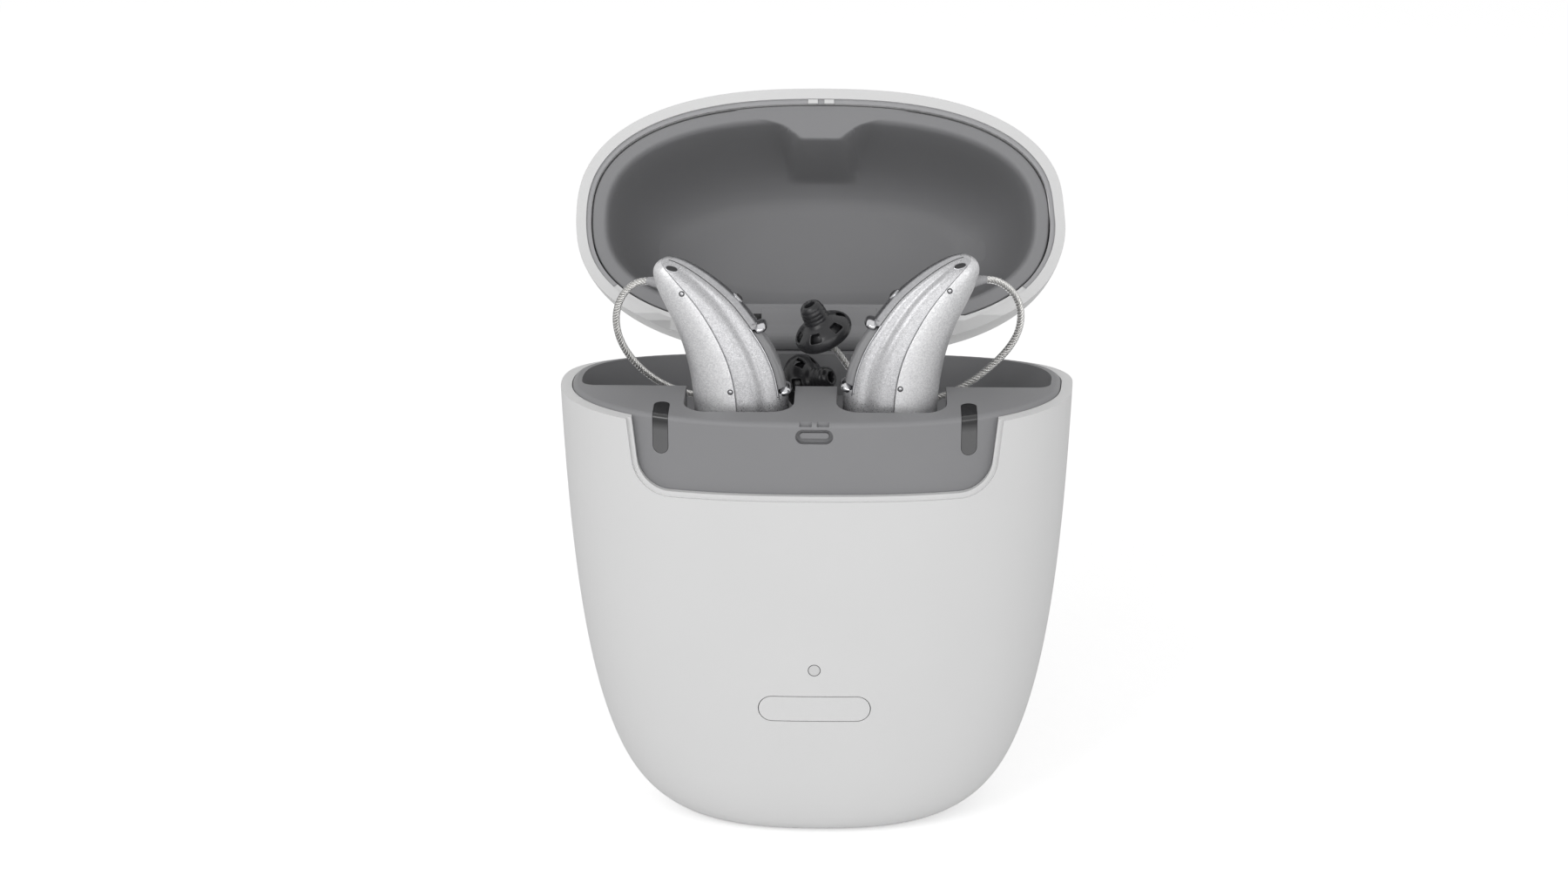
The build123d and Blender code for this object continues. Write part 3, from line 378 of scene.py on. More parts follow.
def close_piece(piece):
    """Merge doubled points, fill open ends and turn every face outwards."""
    work = bmesh.new()
    work.from_mesh(piece.data)
    bmesh.ops.remove_doubles(work, verts=work.verts, dist=0.002 * MM)
    rims = [edge for edge in work.edges if edge.is_boundary]
    if rims:
        bmesh.ops.holes_fill(work, edges=rims)
    loose = [vert for vert in work.verts if not vert.link_faces]
    bmesh.ops.delete(work, geom=loose, context="VERTS")
    bmesh.ops.recalc_face_normals(work, faces=work.faces)
    work.to_mesh(piece.data)
    work.free()


def smooth_table(table, share):
    """A smooth line through a table's rows: a cubic between two rows, whose slope at a row is half the
    step from the row before to the row after."""
    low = np.clip(np.floor(share).astype(int), 0, len(table) - 2)
    part = (np.clip(share, 0, len(table) - 1) - low)[..., None]
    slope = np.gradient(table, axis=0)
    square, cube = part ** 2, part ** 3
    return ((2 * cube - 3 * square + 1) * table[low] + (cube - 2 * square + part) * slope[low]
            + (3 * square - 2 * cube) * table[low + 1] + (cube - square) * slope[low + 1])


def bent(value, power):
    """Sign kept, size raised to a power, which squares off a circle's cosine or sine."""
    return np.sign(value) * np.abs(value) ** power


def cross_axes(direction):
    """Two unit vectors across a direction and across each other."""
    direction = np.asarray(direction, dtype=float)
    direction = direction / np.linalg.norm(direction)
    first = np.cross(direction, (0.0, 1.0, 0.0))
    first /= np.linalg.norm(first)
    return direction, first, np.cross(direction, first)


def turned(profile, start, direction, around):
    """A surface of revolution: start + reach * direction + radius * (cos a * first + sin a * second)."""
    direction, first, second = cross_axes(direction)
    angle = np.linspace(0.0, 2 * math.pi, around, endpoint=False)
    ring = np.cos(angle)[:, None] * first + np.sin(angle)[:, None] * second
    return (np.asarray(start) + profile[:, 1, None, None] * direction + profile[:, 0, None, None] * ring[None])


def tube_grid(points, rings, around, offset):
    """Rings carried along a path: at reach r and angle a, the path's point plus offset(r, a) = (across, up)
    in a frame that turns as little as it can."""
    steps = np.linalg.norm(np.diff(points, axis=0), axis=1)
    reach = np.concatenate([[0.0], np.cumsum(steps)])
    wanted = np.linspace(0.0, reach[-1], rings)
    path = np.stack([np.interp(wanted, reach, points[:, i]) for i in range(3)], axis=1)
    tangent = np.gradient(path, axis=0)
    tangent /= np.linalg.norm(tangent, axis=1)[:, None]
    side = np.empty_like(path)
    side[0] = cross_axes(tangent[0])[1]
    for i in range(1, rings):
        side[i] = side[i - 1] - tangent[i] * np.dot(side[i - 1], tangent[i])
        side[i] /= np.linalg.norm(side[i])
    up = np.cross(tangent, side)
    angle = np.linspace(0.0, 2 * math.pi, around, endpoint=False)[None, :]
    across, height = offset(wanted[:, None], angle)
    return path[:, None, :] + side[:, None, :] * across[..., None] + up[:, None, :] * height[..., None]


def round_section(radius):
    """Offset of a plain round tube for tube_grid."""
    return lambda reach, angle: (radius * np.cos(angle) + 0 * reach, radius * np.sin(angle) + 0 * reach)


# Receiver wires

# Route of each receiver wire in millimetres: x, y, height over the rim
left_wire = [
    (-21.6, -5.1, 15.6),
    (-23.6, -4.6, 16.0),
    (-25.9, -3.4, 15.0),
    (-27.8, -1.8, 12.4),
    (-28.6, -0.1, 9.0),
    (-28.2, 1.7, 5.4),
    (-26.6, 3.3, 2.0),
    (-24.0, 4.9, -1.1),
    (-20.6, 6.4, -3.4),
    (-16.6, 7.6, -4.7),
    (-12.2, 8.3, -4.9),
    (-7.6, 8.3, -4.0),
    (-3.6, 7.8, -2.9),
]
right_wire = [
    (21.6, -5.1, 16.0),
    (23.7, -4.6, 16.5),
    (26.3, -3.5, 15.4),
    (28.4, -2.0, 12.8),
    (29.0, -0.5, 9.3),
    (28.1, 0.9, 5.8),
    (25.7, 2.1, 2.4),
    (22.3, 2.9, -0.8),
    (18.2, 3.3, -3.2),
    (13.8, 3.5, -4.2),
    (9.8, 3.3, -3.3),
    (6.8, 2.9, -1.6),
    (4.7, 2.6, 1.0),
    (3.1, 2.5, 3.6),
    (1.7, 2.3, 5.0),
]
wire_radius = 0.52
strands = 3
strand_radius = 0.17
strand_turn = 1.6
# Radius along the plug's sleeve, from the aid outwards, and its shallow ribs
sleeve_length = 2.2
sleeve_stations = (0.0, 0.9, 2.0)
sleeve_radii = (0.8, 0.74, wire_radius + 0.03)
sleeve_rib = 0.03
sleeve_rib_pitch = 0.45
# From the wire's end to the receiver's middle, and the way that each dome faces
receiver_reach = 0.9
ear_direction = {"left": (0.8, -0.5, 0.32), "right": (-0.4, -0.25, 0.88)}


def route_curve(name, points, radius):
    """A NURBS curve of order 3 with the route's points as its control points."""
    data = bpy.data.curves.new(name, "CURVE")
    data.dimensions = "3D"
    spline = data.splines.new("NURBS")
    spline.points.add(len(points) - 1)
    for control, (x, y, rise) in zip(spline.points, points):
        control.co = (x * MM, y * MM, (rim_height + rise) * MM, 1.0)
    spline.order_u = 3
    spline.use_endpoint_u = True
    data.resolution_u = 12
    data.bevel_depth = radius * MM
    data.bevel_resolution = 5
    data.use_fill_caps = True
    curve = bpy.data.objects.new(name, data)
    bpy.context.scene.collection.objects.link(curve)
    return curve


def route_points(points):
    """Points along the route's own spline in millimetres, read from a curve that has no bevel."""
    plain = route_curve("route", points, 0.0)
    line = bpy.data.meshes.new_from_object(plain)
    found = np.empty(3 * len(line.vertices))
    line.vertices.foreach_get("co", found)
    bpy.data.objects.remove(plain)
    bpy.data.meshes.remove(line)
    return found.reshape(-1, 3) / MM


def strand_section(phase):
    """Offset of a strand for tube_grid, on a helix of its own radius that turns once in strand_turn:
    strand_radius * (cos turn + cos angle) across, and the same with sines up."""
    def section(reach, angle):
        turn = 2 * math.pi * reach / strand_turn + phase
        return (strand_radius * (np.cos(turn) + np.cos(angle)), strand_radius * (np.sin(turn) + np.sin(angle)))
    return section


def sleeve_section(reach, angle):
    """Offset of the plug's sleeve for tube_grid: its radius falls along sleeve_radii, plus sleeve_rib times
    the cosine of the reach in rib pitches."""
    radius = np.interp(reach, sleeve_stations, sleeve_radii)
    radius = radius + sleeve_rib * np.cos(2 * math.pi * reach / sleeve_rib_pitch)
    return radius * np.cos(angle), radius * np.sin(angle)


def add_wire(side, points):
    """A receiver wire: clear tube on the route, three strands twisted round each other inside it, and the
    grey sleeve of its plug where it enters the aid."""
    body = side + "_aid"
    tube = route_curve(side + "_wire_tube", points, wire_radius)
    tube.data.materials.append(tubing)
    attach(tube, body)
    line = route_points(points)
    fixed = []
    for number in range(strands):
        grid = tube_grid(line, 360, 8, strand_section(2 * math.pi * number / strands))
        strand = grid_piece(side + "_wire_strand_" + str(number + 1), grid, strand_metal, body)
        close_piece(strand)
        fixed.append(strand)
    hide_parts(side + "_receiver_wire")
    reach = np.concatenate([[0.0], np.cumsum(np.linalg.norm(np.diff(line, axis=0), axis=1))])
    sleeve = grid_piece(side + "_wire_sleeve", tube_grid(line[reach < sleeve_length], 26, 20, sleeve_section),
                        sleeve_grey, body)
    close_piece(sleeve)
    return tube, fixed + [sleeve], line, float(reach[-1])


# Ear domes

# Radius and reach from the receiver's middle, of the dome, its inner skirt and the receiver
dome_profile = np.array([
    (3.40, 0.05), (3.86, 0.35), (4.10, 0.90), (4.02, 1.50), (3.58, 2.10), (2.85, 2.60), (2.20, 2.95),
    (1.80, 3.40), (1.66, 4.00), (1.62, 4.60), (1.52, 5.20), (1.28, 5.75), (0.98, 6.00), (0.84, 5.70),
    (0.82, 4.60), (0.82, 3.40),
])
skirt_profile = np.array([(0.95, 3.1), (1.45, 2.7), (2.1, 2.1), (2.65, 1.5), (2.95, 0.85)])
receiver_profile = np.array([(0.0, -0.9), (0.45, -0.85), (0.6, -0.4), (1.15, 0.2), (1.32, 0.8), (1.32, 2.6),
                             (1.1, 3.0), (0.68, 3.15), (0.66, 5.2), (0.0, 5.25)])
dome_wall = 0.3
dome_rows = 48
dome_columns = 72
# Shallow ribs round the cap, between two points of the dome's profile
cap_first = 7
cap_last = 11
cap_rib = 0.06
cap_rib_pitch = 0.62
# Vents in the brim, as rows and columns of the dome's grid
vents = 6
vent_rows = slice(11, 16)
vent_columns = 5


def add_ear_piece(side, start):
    """A soft ear dome and the receiver in it, each its profile turned about the ear's direction: a puffed
    open brim under a narrow ribbed cap, with a second skirt inside. The vents are left out of the grid
    before it gets its wall."""
    direction = ear_direction[side]
    share = np.linspace(0, len(dome_profile) - 1, dome_rows)
    profile = smooth_table(dome_profile, share)
    ribs = cap_rib * np.cos(2 * math.pi * profile[:, 1] / cap_rib_pitch)
    profile[:, 0] += ribs * (share > cap_first) * (share < cap_last)
    drop = np.zeros((dome_rows - 1, dome_columns), dtype=bool)
    for vent in range(vents):
        first = dome_columns // vents * vent
        drop[vent_rows, first:first + vent_columns] = True
    body = side + "_aid"
    dome = grid_piece(side + "_ear_dome", turned(profile, start, direction, dome_columns), silicone, body,
                      drop)
    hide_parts(side + "_dome")
    inner = smooth_table(skirt_profile, np.linspace(0, len(skirt_profile) - 1, 14))
    skirt = grid_piece(side + "_dome_inner_skirt", turned(inner, start, direction, 48), silicone, body)
    for piece in (dome, skirt):
        wall = piece.modifiers.new("wall", "SOLIDIFY")
        wall.thickness = dome_wall * MM
        wall.offset = 0.0
        rounding = piece.modifiers.new("rounding", "SUBSURF")
        rounding.levels = 1
        rounding.render_levels = 1
    speaker = grid_piece(side + "_ear_receiver", turned(receiver_profile, start, direction, 32), capsule, body)
    close_piece(speaker)
    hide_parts(side + "_receiver")
    return [dome, skirt, speaker]


for side, points in (("left", left_wire), ("right", right_wire)):
    tube, fixed, line, length = add_wire(side, points)
    end = np.array(points[-1]) + (0.0, 0.0, rim_height)
    heading = np.array(ear_direction[side]) / np.linalg.norm(ear_direction[side])
    ear_piece = add_ear_piece(side, end + receiver_reach * heading)

# Hearing aids

# Sections up an aid: inner edge x and height, outer edge x and height over the aids' datum, half thickness
aid_sections = np.array([
    (9.20, -12.95, 12.60, -12.95, 1.60),
    (6.90, -12.70, 14.70, -12.70, 2.80),
    (5.30, -11.90, 15.90, -11.90, 3.60),
    (4.45, -10.00, 16.60, -10.00, 4.05),
    (3.95, -6.60, 16.90, -6.60, 4.25),
    (3.78, -3.00, 17.05, -3.00, 4.30),
    (3.95, 0.40, 17.28, 0.30, 4.30),
    (4.65, 3.60, 17.70, 3.20, 4.25),
    (5.85, 6.40, 18.35, 5.90, 4.15),
    (7.45, 8.90, 19.20, 8.40, 3.98),
    (9.05, 11.10, 20.05, 10.40, 3.78),
    (10.75, 13.10, 20.90, 12.10, 3.55),
    (12.80, 14.95, 21.65, 13.65, 3.30),
    (15.10, 16.65, 22.25, 15.05, 3.00),
    (17.30, 17.95, 22.60, 16.35, 2.60),
    (19.10, 18.70, 22.62, 17.30, 2.10),
    (20.40, 18.90, 22.30, 17.98, 1.45),
    (21.10, 18.80, 21.75, 18.40, 0.60),
])
# The sections' superellipse, the datum's height, how far each hand sits above it, and the lean to the back
aid_power = 2 / 2.3
aid_datum = 65.35
aid_raise = {-1: 0.0, 1: 0.6}
aid_datum_rise = 13.35
aid_foot_y = -7.8
aid_lean = 0.09
# Lines up the body, as angles from its inner edge: case to cover, cover to spine, and the flute
seam_angle = math.radians(93)
seam_gap = math.radians(0.2)
seam_roll = 0.04
seam_roll_angle = math.radians(0.8)
line_angle = math.radians(37)
line_radius = 0.07
bead_angle = math.radians(39.5)
bead_radius = 0.14
flute_angle = math.radians(60)
flute_half_angle = math.radians(11)
flute_depth = 0.5
# The rocker's recess, from one station to another, with its ramps, and the bar and knobs in it
rocker_first = 6.0
rocker_last = 9.25
rocker_sink = 1.6
recess_end_ramp = 0.06
recess_side_ramp = math.radians(1.6)
bar_end_gap = 0.12
bar_side_gap = math.radians(2.2)
bar_top = -0.06
bar_under = -1.1
knob_places = ((7.85, 9.3), (4.45, 0.45))
knob_half_sizes = (1.12, 2.5, 0.74)
knob_power = 0.85
# The plated strip over the rocker, to a station near the tip
spine_gap = 0.15
spine_last = len(aid_sections) - 2.2
spine_side_gap = math.radians(1.5)
spine_top = 0.12
spine_under = -0.3
# Assembly pins, and the ports near the tip and on the spine: places, half sizes and depth under the skin
pin_places = ((18.5, 14.6), (11.75, 1.1))
pin_ring_radius = 0.32
pin_ring_thickness = 0.085
pin_half_sizes = (0.27, 0.27, 0.07)
port_place = (19.9, 17.9)
port_slope = 0.32
port_power = 0.9
port_lip_half_sizes = (0.95, 0.52, 0.1)
port_lip_sunk = 0.05
port_slot_half_sizes = (0.82, 0.38, 0.12)
rear_port_station = 11.1
rear_rim_half_sizes = (0.26, 0.85, 0.95)
rear_port_half_sizes = (0.42, 0.6, 0.7)


def aid_point(hand, x, rise):
    """A place in the front view, given as x and height over the datum, on the aid's leaning middle plane:
    its y is the foot's y plus the lean times the height over the foot."""
    y = aid_foot_y + aid_lean * (rise + aid_datum_rise)
    return np.stack(np.broadcast_arrays(hand * x, y, aid_datum + aid_raise[hand] + rise), axis=-1)


def aid_skin(hand, share, angle, lift, sink=0.0):
    """A point of an aid's skin. In the section at station share, at an angle from its inner edge:
    (half width + lift - sink) * cos^p inwards and (half thickness + lift) * sin^p forwards. A shallow
    flute runs up the body at flute_angle."""
    share, angle, lift, sink = np.broadcast_arrays(share, angle, lift, sink)
    row = smooth_table(aid_sections, share)
    inner = aid_point(hand, row[..., 0], row[..., 1])
    outer = aid_point(hand, row[..., 2], row[..., 3])
    half = np.linalg.norm(inner - outer, axis=-1) / 2
    flute = flute_depth * np.exp(-((np.abs(angle) - flute_angle) / flute_half_angle) ** 2)
    flute = flute * np.clip(row[..., 4] / 3 - 0.4, 0.0, 1.0)
    across = (half + lift) * bent(np.cos(angle), aid_power) - sink - flute * 0.4
    deep = (row[..., 4] + lift - flute) * bent(np.sin(angle), aid_power)
    point = (inner + outer) / 2 + (inner - outer) / (2 * half[..., None]) * across[..., None]
    point[..., 1] -= deep
    return point


def rocker_window(share, angle):
    """1 inside the rocker's recess in an aid's inner edge, 0 outside, with a straight ramp between."""
    low = np.clip((share - rocker_first) / recess_end_ramp, 0, 1)
    high = np.clip((rocker_last - share) / recess_end_ramp, 0, 1)
    return low * high * np.clip((line_angle - np.abs(angle)) / recess_side_ramp, 0, 1)


def add_aid_body(side, hand):
    """An aid's case and spine cover: the skin on each side of the seam, closed by a flat wall inside. Each
    edge at the seam is rolled in by seam_roll, and the cover has the rocker's recess. Stations and angles
    are added where a ramp or a roll starts."""
    ramp = np.array((0.0, recess_end_ramp))
    share = np.sort(np.concatenate([np.linspace(0, len(aid_sections) - 1, 150),
                                    rocker_first + ramp, rocker_last - ramp]))
    share = share[:, None]
    halves = (("_aid_front_shell", math.pi, math.pi - seam_angle - seam_gap, lacquer, "_aid_case"),
              ("_aid_cover", 0.0, seam_angle - seam_gap, shaded_cover_lacquer, "_aid_spine_cover"))
    for name, middle, reach, material, node in halves:
        turn = np.sort(np.concatenate([np.linspace(-reach, reach, 120),
                                       (reach - seam_roll_angle) * np.array((-1.0, 1.0))]))
        edge = -seam_roll * np.clip(1 - (reach - np.abs(turn)) / seam_roll_angle, 0, 1)
        angle = (middle + turn)[None, :]
        sink = rocker_sink * rocker_window(share, angle) if middle == 0.0 else 0.0
        skin = aid_skin(hand, share, angle, edge[None, :], sink)
        wall = skin[:, -1:] + (skin[:, :1] - skin[:, -1:]) * np.linspace(0.06, 0.94, 8)[None, :, None]
        piece = grid_piece(side + name, np.concatenate([skin, wall], axis=1), material, side + "_aid")
        close_piece(piece)
        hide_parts(side + node)


def add_skin_patch(side, hand, name, first, last, reach, top, under, material, body):
    """A strip of the skin along the inner edge, between two stations and two angles: an outer arc lifted by
    top, rolled in at its sides, and an inner arc lifted by under."""
    share = np.linspace(first, last, 70)[:, None]
    angle = np.linspace(-reach, reach, 26)[None, :]
    ends = np.clip(np.minimum(share - first, last - share) / 0.12, 0, 1) ** 0.5
    raised = (top - under) * (1 - np.abs(angle / reach) ** 8) * ends + under
    outer = aid_skin(hand, share, angle, 0.0, -raised)
    inner = aid_skin(hand, share, angle[:, ::-1], 0.0, -under)
    piece = grid_piece(side + name, np.concatenate([outer, inner], axis=1), material, body)
    close_piece(piece)
    return piece


def skin_at(hand, x, rise, face):
    """The skin's point over a place in the front view, and its outward direction. face is 1 in front and
    -1 behind."""
    share, angle = np.meshgrid(np.linspace(0.1, len(aid_sections) - 1.1, 260),
                               face * np.linspace(0.05, math.pi - 0.05, 160), indexing="ij")
    points = aid_skin(hand, share, angle, 0.0)
    wanted = aid_point(hand, x, rise)
    away = (points[..., 0] - wanted[0]) ** 2 + (points[..., 2] - wanted[2]) ** 2
    i, j = np.unravel_index(np.argmin(away), away.shape)
    i, j = min(max(i, 1), 258), min(max(j, 1), 158)
    out = np.cross(points[i + 1, j] - points[i - 1, j], points[i, j + 1] - points[i, j - 1])
    out /= np.linalg.norm(out)
    if out[1] * face > 0:
        out = -out
    return points[i, j], out


def add_skin_line(side, hand, name, angle, first, last, radius, lift, material):
    """A fine round bead along the skin at one angle, between two stations."""
    points = aid_skin(hand, np.linspace(first, last, 120), np.full(120, angle), lift)
    close_piece(grid_piece(side + name, tube_grid(points, 110, 8, round_section(radius)), material,
                           side + "_aid"))


def ring_grid(centre, axis, radius, thickness, around=28, section=10):
    """A torus: centre + radius * ring direction + thickness * (cos b * ring direction + sin b * axis)."""
    axis, first, second = cross_axes(axis)
    turn = np.linspace(0.0, 2 * math.pi, around + 1)[:, None, None]
    arc = np.linspace(0.0, 2 * math.pi, section, endpoint=False)[None, :, None]
    out = np.cos(turn) * first + np.sin(turn) * second
    return np.asarray(centre) + (radius + thickness * np.cos(arc)) * out + thickness * np.sin(arc) * axis


def rounded_body(centre, axes, sizes, power):
    """A closed rounded form: half sizes along three axes times cos and sin of latitude and longitude, each
    raised to a power under one, which fills its corners."""
    latitude = np.linspace(-math.pi / 2, math.pi / 2, 25)[:, None, None]
    longitude = np.linspace(0.0, 2 * math.pi, 36, endpoint=False)[None, :, None]
    wide = bent(np.cos(latitude), power)
    return (np.asarray(centre) + sizes[0] * wide * bent(np.cos(longitude), power) * axes[0]
            + sizes[1] * wide * bent(np.sin(longitude), power) * axes[1]
            + sizes[2] * bent(np.sin(latitude), power) * axes[2])


def add_rocker(side, hand):
    """The rocker: a smoked bar, flush in its recess, and a plated knob on each end."""
    body = side + "_rocker"
    forward = np.array((0.0, -1.0, 0.0))
    top, low = (aid_point(hand, x, rise) for x, rise in knob_places)
    along = (top - low) / np.linalg.norm(top - low)
    along[1] = 0.0
    across = np.cross(forward, along)
    for name, end in (("upper", top), ("lower", low)):
        grid = rounded_body(end, (across, forward, along), knob_half_sizes, knob_power)
        knob = grid_piece(side + "_" + name + "_knob", grid, plated_knob, body)
        close_piece(knob)
        if name == "upper":
            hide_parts(side + "_aid_rocker_knobs")
    bar = add_skin_patch(side, hand, "_rocker_bar", rocker_first + bar_end_gap, rocker_last - bar_end_gap,
                         line_angle - bar_side_gap, bar_top, bar_under, smoked_bar, body)
    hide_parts(side + "_aid_rocker")


def add_port(side, hand):
    """The microphone's port near the tip: a dark slot with a plated lip, laid in the skin with its long way
    sloping down to the spine."""
    centre, out = skin_at(hand, *port_place, 1)
    long_way = np.array((-hand, 0.0, -port_slope))
    long_way -= out * np.dot(long_way, out)
    long_way /= np.linalg.norm(long_way)
    short_way = np.cross(out, long_way)
    for name, sizes, sunk, material in (("_port_lip", port_lip_half_sizes, port_lip_sunk, bright_spine),
                                        ("_port_slot", port_slot_half_sizes, 0.0, port_mesh)):
        grid = rounded_body(centre - sunk * out, (long_way, short_way, out), sizes, port_power)
        piece = grid_piece(side + name, grid, material, side + "_aid")
        close_piece(piece)
    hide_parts(side + "_aid_microphone_cover")


def add_pins(side, hand):
    """The two assembly pins: on each face a small domed head in a fine ring."""
    for number, (x, rise) in enumerate(pin_places):
        for name, face in (("front", 1), ("back", -1)):
            label = name + "_" + str(number + 1)
            centre, out = skin_at(hand, x, rise, face)
            ring = grid_piece(side + "_pin_ring_" + label,
                              ring_grid(centre, out, pin_ring_radius, pin_ring_thickness), groove,
                              side + "_aid")
            close_piece(ring)
            axis, first, second = cross_axes(out)
            head = grid_piece(side + "_pin_head_" + label,
                              rounded_body(centre, (first, second, axis), pin_half_sizes, 1.0), bright_spine,
                              side + "_aid")
            close_piece(head)
            if number == 0 and face == 1:
                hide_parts(side + "_aid_pins")


def add_rear_port(side, hand):
    """The second port, on the spine strip: a plated rim and a dark middle, along the skin's own slope."""
    centre = aid_skin(hand, rear_port_station, 0.0, spine_top)
    ahead = (aid_skin(hand, rear_port_station + 0.1, 0.0, 0.1)
             - aid_skin(hand, rear_port_station - 0.1, 0.0, 0.1))
    ahead /= np.linalg.norm(ahead)
    sideways = np.array((0.0, -1.0, 0.0))
    out = np.cross(sideways, ahead)
    for name, sizes, material in (("_rear_port_rim", rear_rim_half_sizes, bright_spine),
                                  ("_rear_port", rear_port_half_sizes, port_mesh)):
        grid = rounded_body(centre, (out, sideways, ahead), sizes, port_power)
        close_piece(grid_piece(side + name, grid, material, side + "_aid"))


def add_aid(side, hand):
    """One aid: its body, the plated strip, the lines and beads along the spine, ports, pins and rocker."""
    add_aid_body(side, hand)
    add_skin_patch(side, hand, "_spine_strip", rocker_last + spine_gap, spine_last, line_angle - spine_side_gap,
                   spine_top, spine_under, bright_spine, side + "_aid")
    for name, face in (("front", 1), ("back", -1)):
        add_skin_line(side, hand, "_" + name + "_spine_line", face * line_angle, rocker_first - 0.2, spine_last,
                      line_radius, -0.01, groove)
        add_skin_line(side, hand, "_" + name + "_edge_bead", face * bead_angle, rocker_first - 0.1,
                      rocker_last + 0.1, bead_radius, 0.02, bright_spine)
    add_port(side, hand)
    add_pins(side, hand)
    add_rear_port(side, hand)
    add_rocker(side, hand)


add_aid("left", -1)
add_aid("right", 1)

# Lid

# The lid's form: height over the rim and how it bulges and rounds over; the hinge; and the liner's insets
lid_height = 26.5
lid_bulge = 2.2
lid_corner = 0.2
hinge_y = 18.0
hinge_z = 66.3
lid_open_angle = math.radians(117)
liner_inset = 2.35
liner_back = 14.6
bowl_back = 13.0
lip_level = 0.9
crown_radius = 120.0
# Heights of the bowl's outside, as shares of the lid's
outside_heights = (0.98, 0.95, 0.9, 0.8, 0.65, 0.45, 0.25, 0.1, 0.05)
# Offset in from the lip's outer edge, and depth under the lip
bowl_profile = np.array([
    (0.05, 0.30), (0.14, 0.08), (0.35, 0.00), (0.90, 0.00), (1.45, 0.01), (1.75, 0.06), (2.02, 0.24),
    (2.28, 0.62), (2.50, 1.30), (2.75, 2.90), (3.15, 6.20), (3.80, 10.20), (4.90, 14.20), (6.50, 17.60),
    (8.50, 19.90), (10.80, 21.30), (13.20, 21.95), (15.40, 22.10),
])
# Offset in from the lip's outer edge, and half width of the pad behind the latch there
pad_widths = ((0.0, 13.0), (1.6, 9.6), (2.0, 8.2), (2.3, 7.5), (3.0, 6.4), (3.7, 5.6), (4.9, 4.8), (5.7, 4.4),
              (6.4, 3.9), (8.6, 3.6))
pad_end = 8.4
pad_end_run = 2.6
arm_half_width = 8.6
arm_front_y = 13.6
arm_top_z = 73.0
arm_foot_z = 65.0
arm_foot_y = 16.3
arm_shoulder_z = 68.6
arm_corner = 0.15
# Distance in from each end of the arm, and the section's size there, which rounds the ends
arm_ends = ((0.0, 0.96), (0.1, 0.985), (0.3, 1.0))
knuckle_radius = 2.0
# The rebate band's section: distance in from the plan's outline, and rise over the rim's crown
rebate_band_section = ((1.5, 0.8), (1.5, 0.57), (1.53, 0.55), (2.16, 0.55), (2.2, 0.58), (2.2, 0.8))
rebate_band_open_turn = 0.55
tab_x = 1.25
tab_inset = 1.78
tab_rise = 0.72
tab_half_sizes = (0.72, 0.43, 0.24)
tab_power = 0.25


def outline_turns(columns):
    """cos^p and sin^p round the plan's superellipse, at turns that lie evenly along the lip's edge."""
    fine = np.linspace(-math.pi, math.pi, 8001)
    x = (body_half_width - liner_inset) * bent(np.cos(fine), 2 / plan_exponent)
    y = (body_half_depth - liner_inset) * bent(np.sin(fine), 2 / plan_exponent)
    run = np.concatenate([[0.0], np.cumsum(np.hypot(np.diff(x), np.diff(y)))])
    turn = np.interp(np.linspace(0, run[-1], columns, endpoint=False), run, fine)
    return bent(np.cos(turn), 2 / plan_exponent), bent(np.sin(turn), 2 / plan_exponent)


def crown_z(y, rise):
    """Height of the rim's crowned surface, raised by rise: a circle's arc over y, highest in the middle."""
    return rim_height - crown_radius + np.sqrt((crown_radius + rise) ** 2 - y ** 2)


def opened(points):
    """Points drawn with the lid closed, turned about the hinge to the open place: y' = y cos + z sin and
    z' = z cos - y sin, both measured from the hinge."""
    y, z = points[..., 1] - hinge_y, points[..., 2] - hinge_z
    cos, sin = math.cos(lid_open_angle), math.sin(lid_open_angle)
    return np.stack([points[..., 0], hinge_y + y * cos + z * sin, hinge_z - y * sin + z * cos], axis=-1)


def ease(value):
    """0 to 1 with level ends: v * v * (3 - 2 v)."""
    value = np.clip(value, 0.0, 1.0)
    return value * value * (3 - 2 * value)


def add_liner():
    """The lid's bowl, one closed surface. Outside it is the lid's domed form drawn in by 2.35 mm. Inside, a
    row at offset o is the plan's outline drawn in by o (by 0.72 o in depth past the lip), at the profile's
    depth under the crowned lip. The pad behind the latch fills the bowl up to the lip where it lies."""
    across, along = outline_turns(440)
    rows = []
    for height in outside_heights:
        level = rim_height + height * (lid_height - liner_inset)
        scale = (1 - height ** lid_bulge) ** lid_corner
        y = np.minimum((body_half_depth * scale - liner_inset) * along, liner_back)
        rows.append(np.stack([(body_half_width * scale - liner_inset) * across, y, np.full_like(y, level)], -1))
    for offset, depth in smooth_table(bowl_profile, np.linspace(0, len(bowl_profile) - 1, 130)):
        wide = body_half_width - liner_inset - offset
        deep = body_half_depth - liner_inset - offset + 0.28 * max(0.0, offset - 2.3)
        back = liner_back - (liner_back - bowl_back) * ease((offset - 0.4) / 1.6)
        x, y = wide * across, np.minimum(deep * along, back)
        pad = np.interp(offset, *zip(*pad_widths))
        slope = 1.3 + 0.8 * max(0.0, offset - 4.0)
        fill = ease((pad - np.abs(x)) / slope + 0.5) * ease((pad_end - offset) / pad_end_run) * (along < 0)
        rows.append(np.stack([x, y, crown_z(y, lip_level) + depth * (1 - fill)], axis=-1))
    grid = np.stack(rows)
    outer_pole = np.broadcast_to(grid[0].mean(axis=0), grid[0].shape)
    inner_pole = np.broadcast_to(grid[-1].mean(axis=0), grid[0].shape)
    grid = np.concatenate([outer_pole[None], grid, inner_pole[None]])
    piece = grid_piece("lid_bowl", opened(grid), liner, "lid")
    close_piece(piece)
    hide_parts("lid_liner")


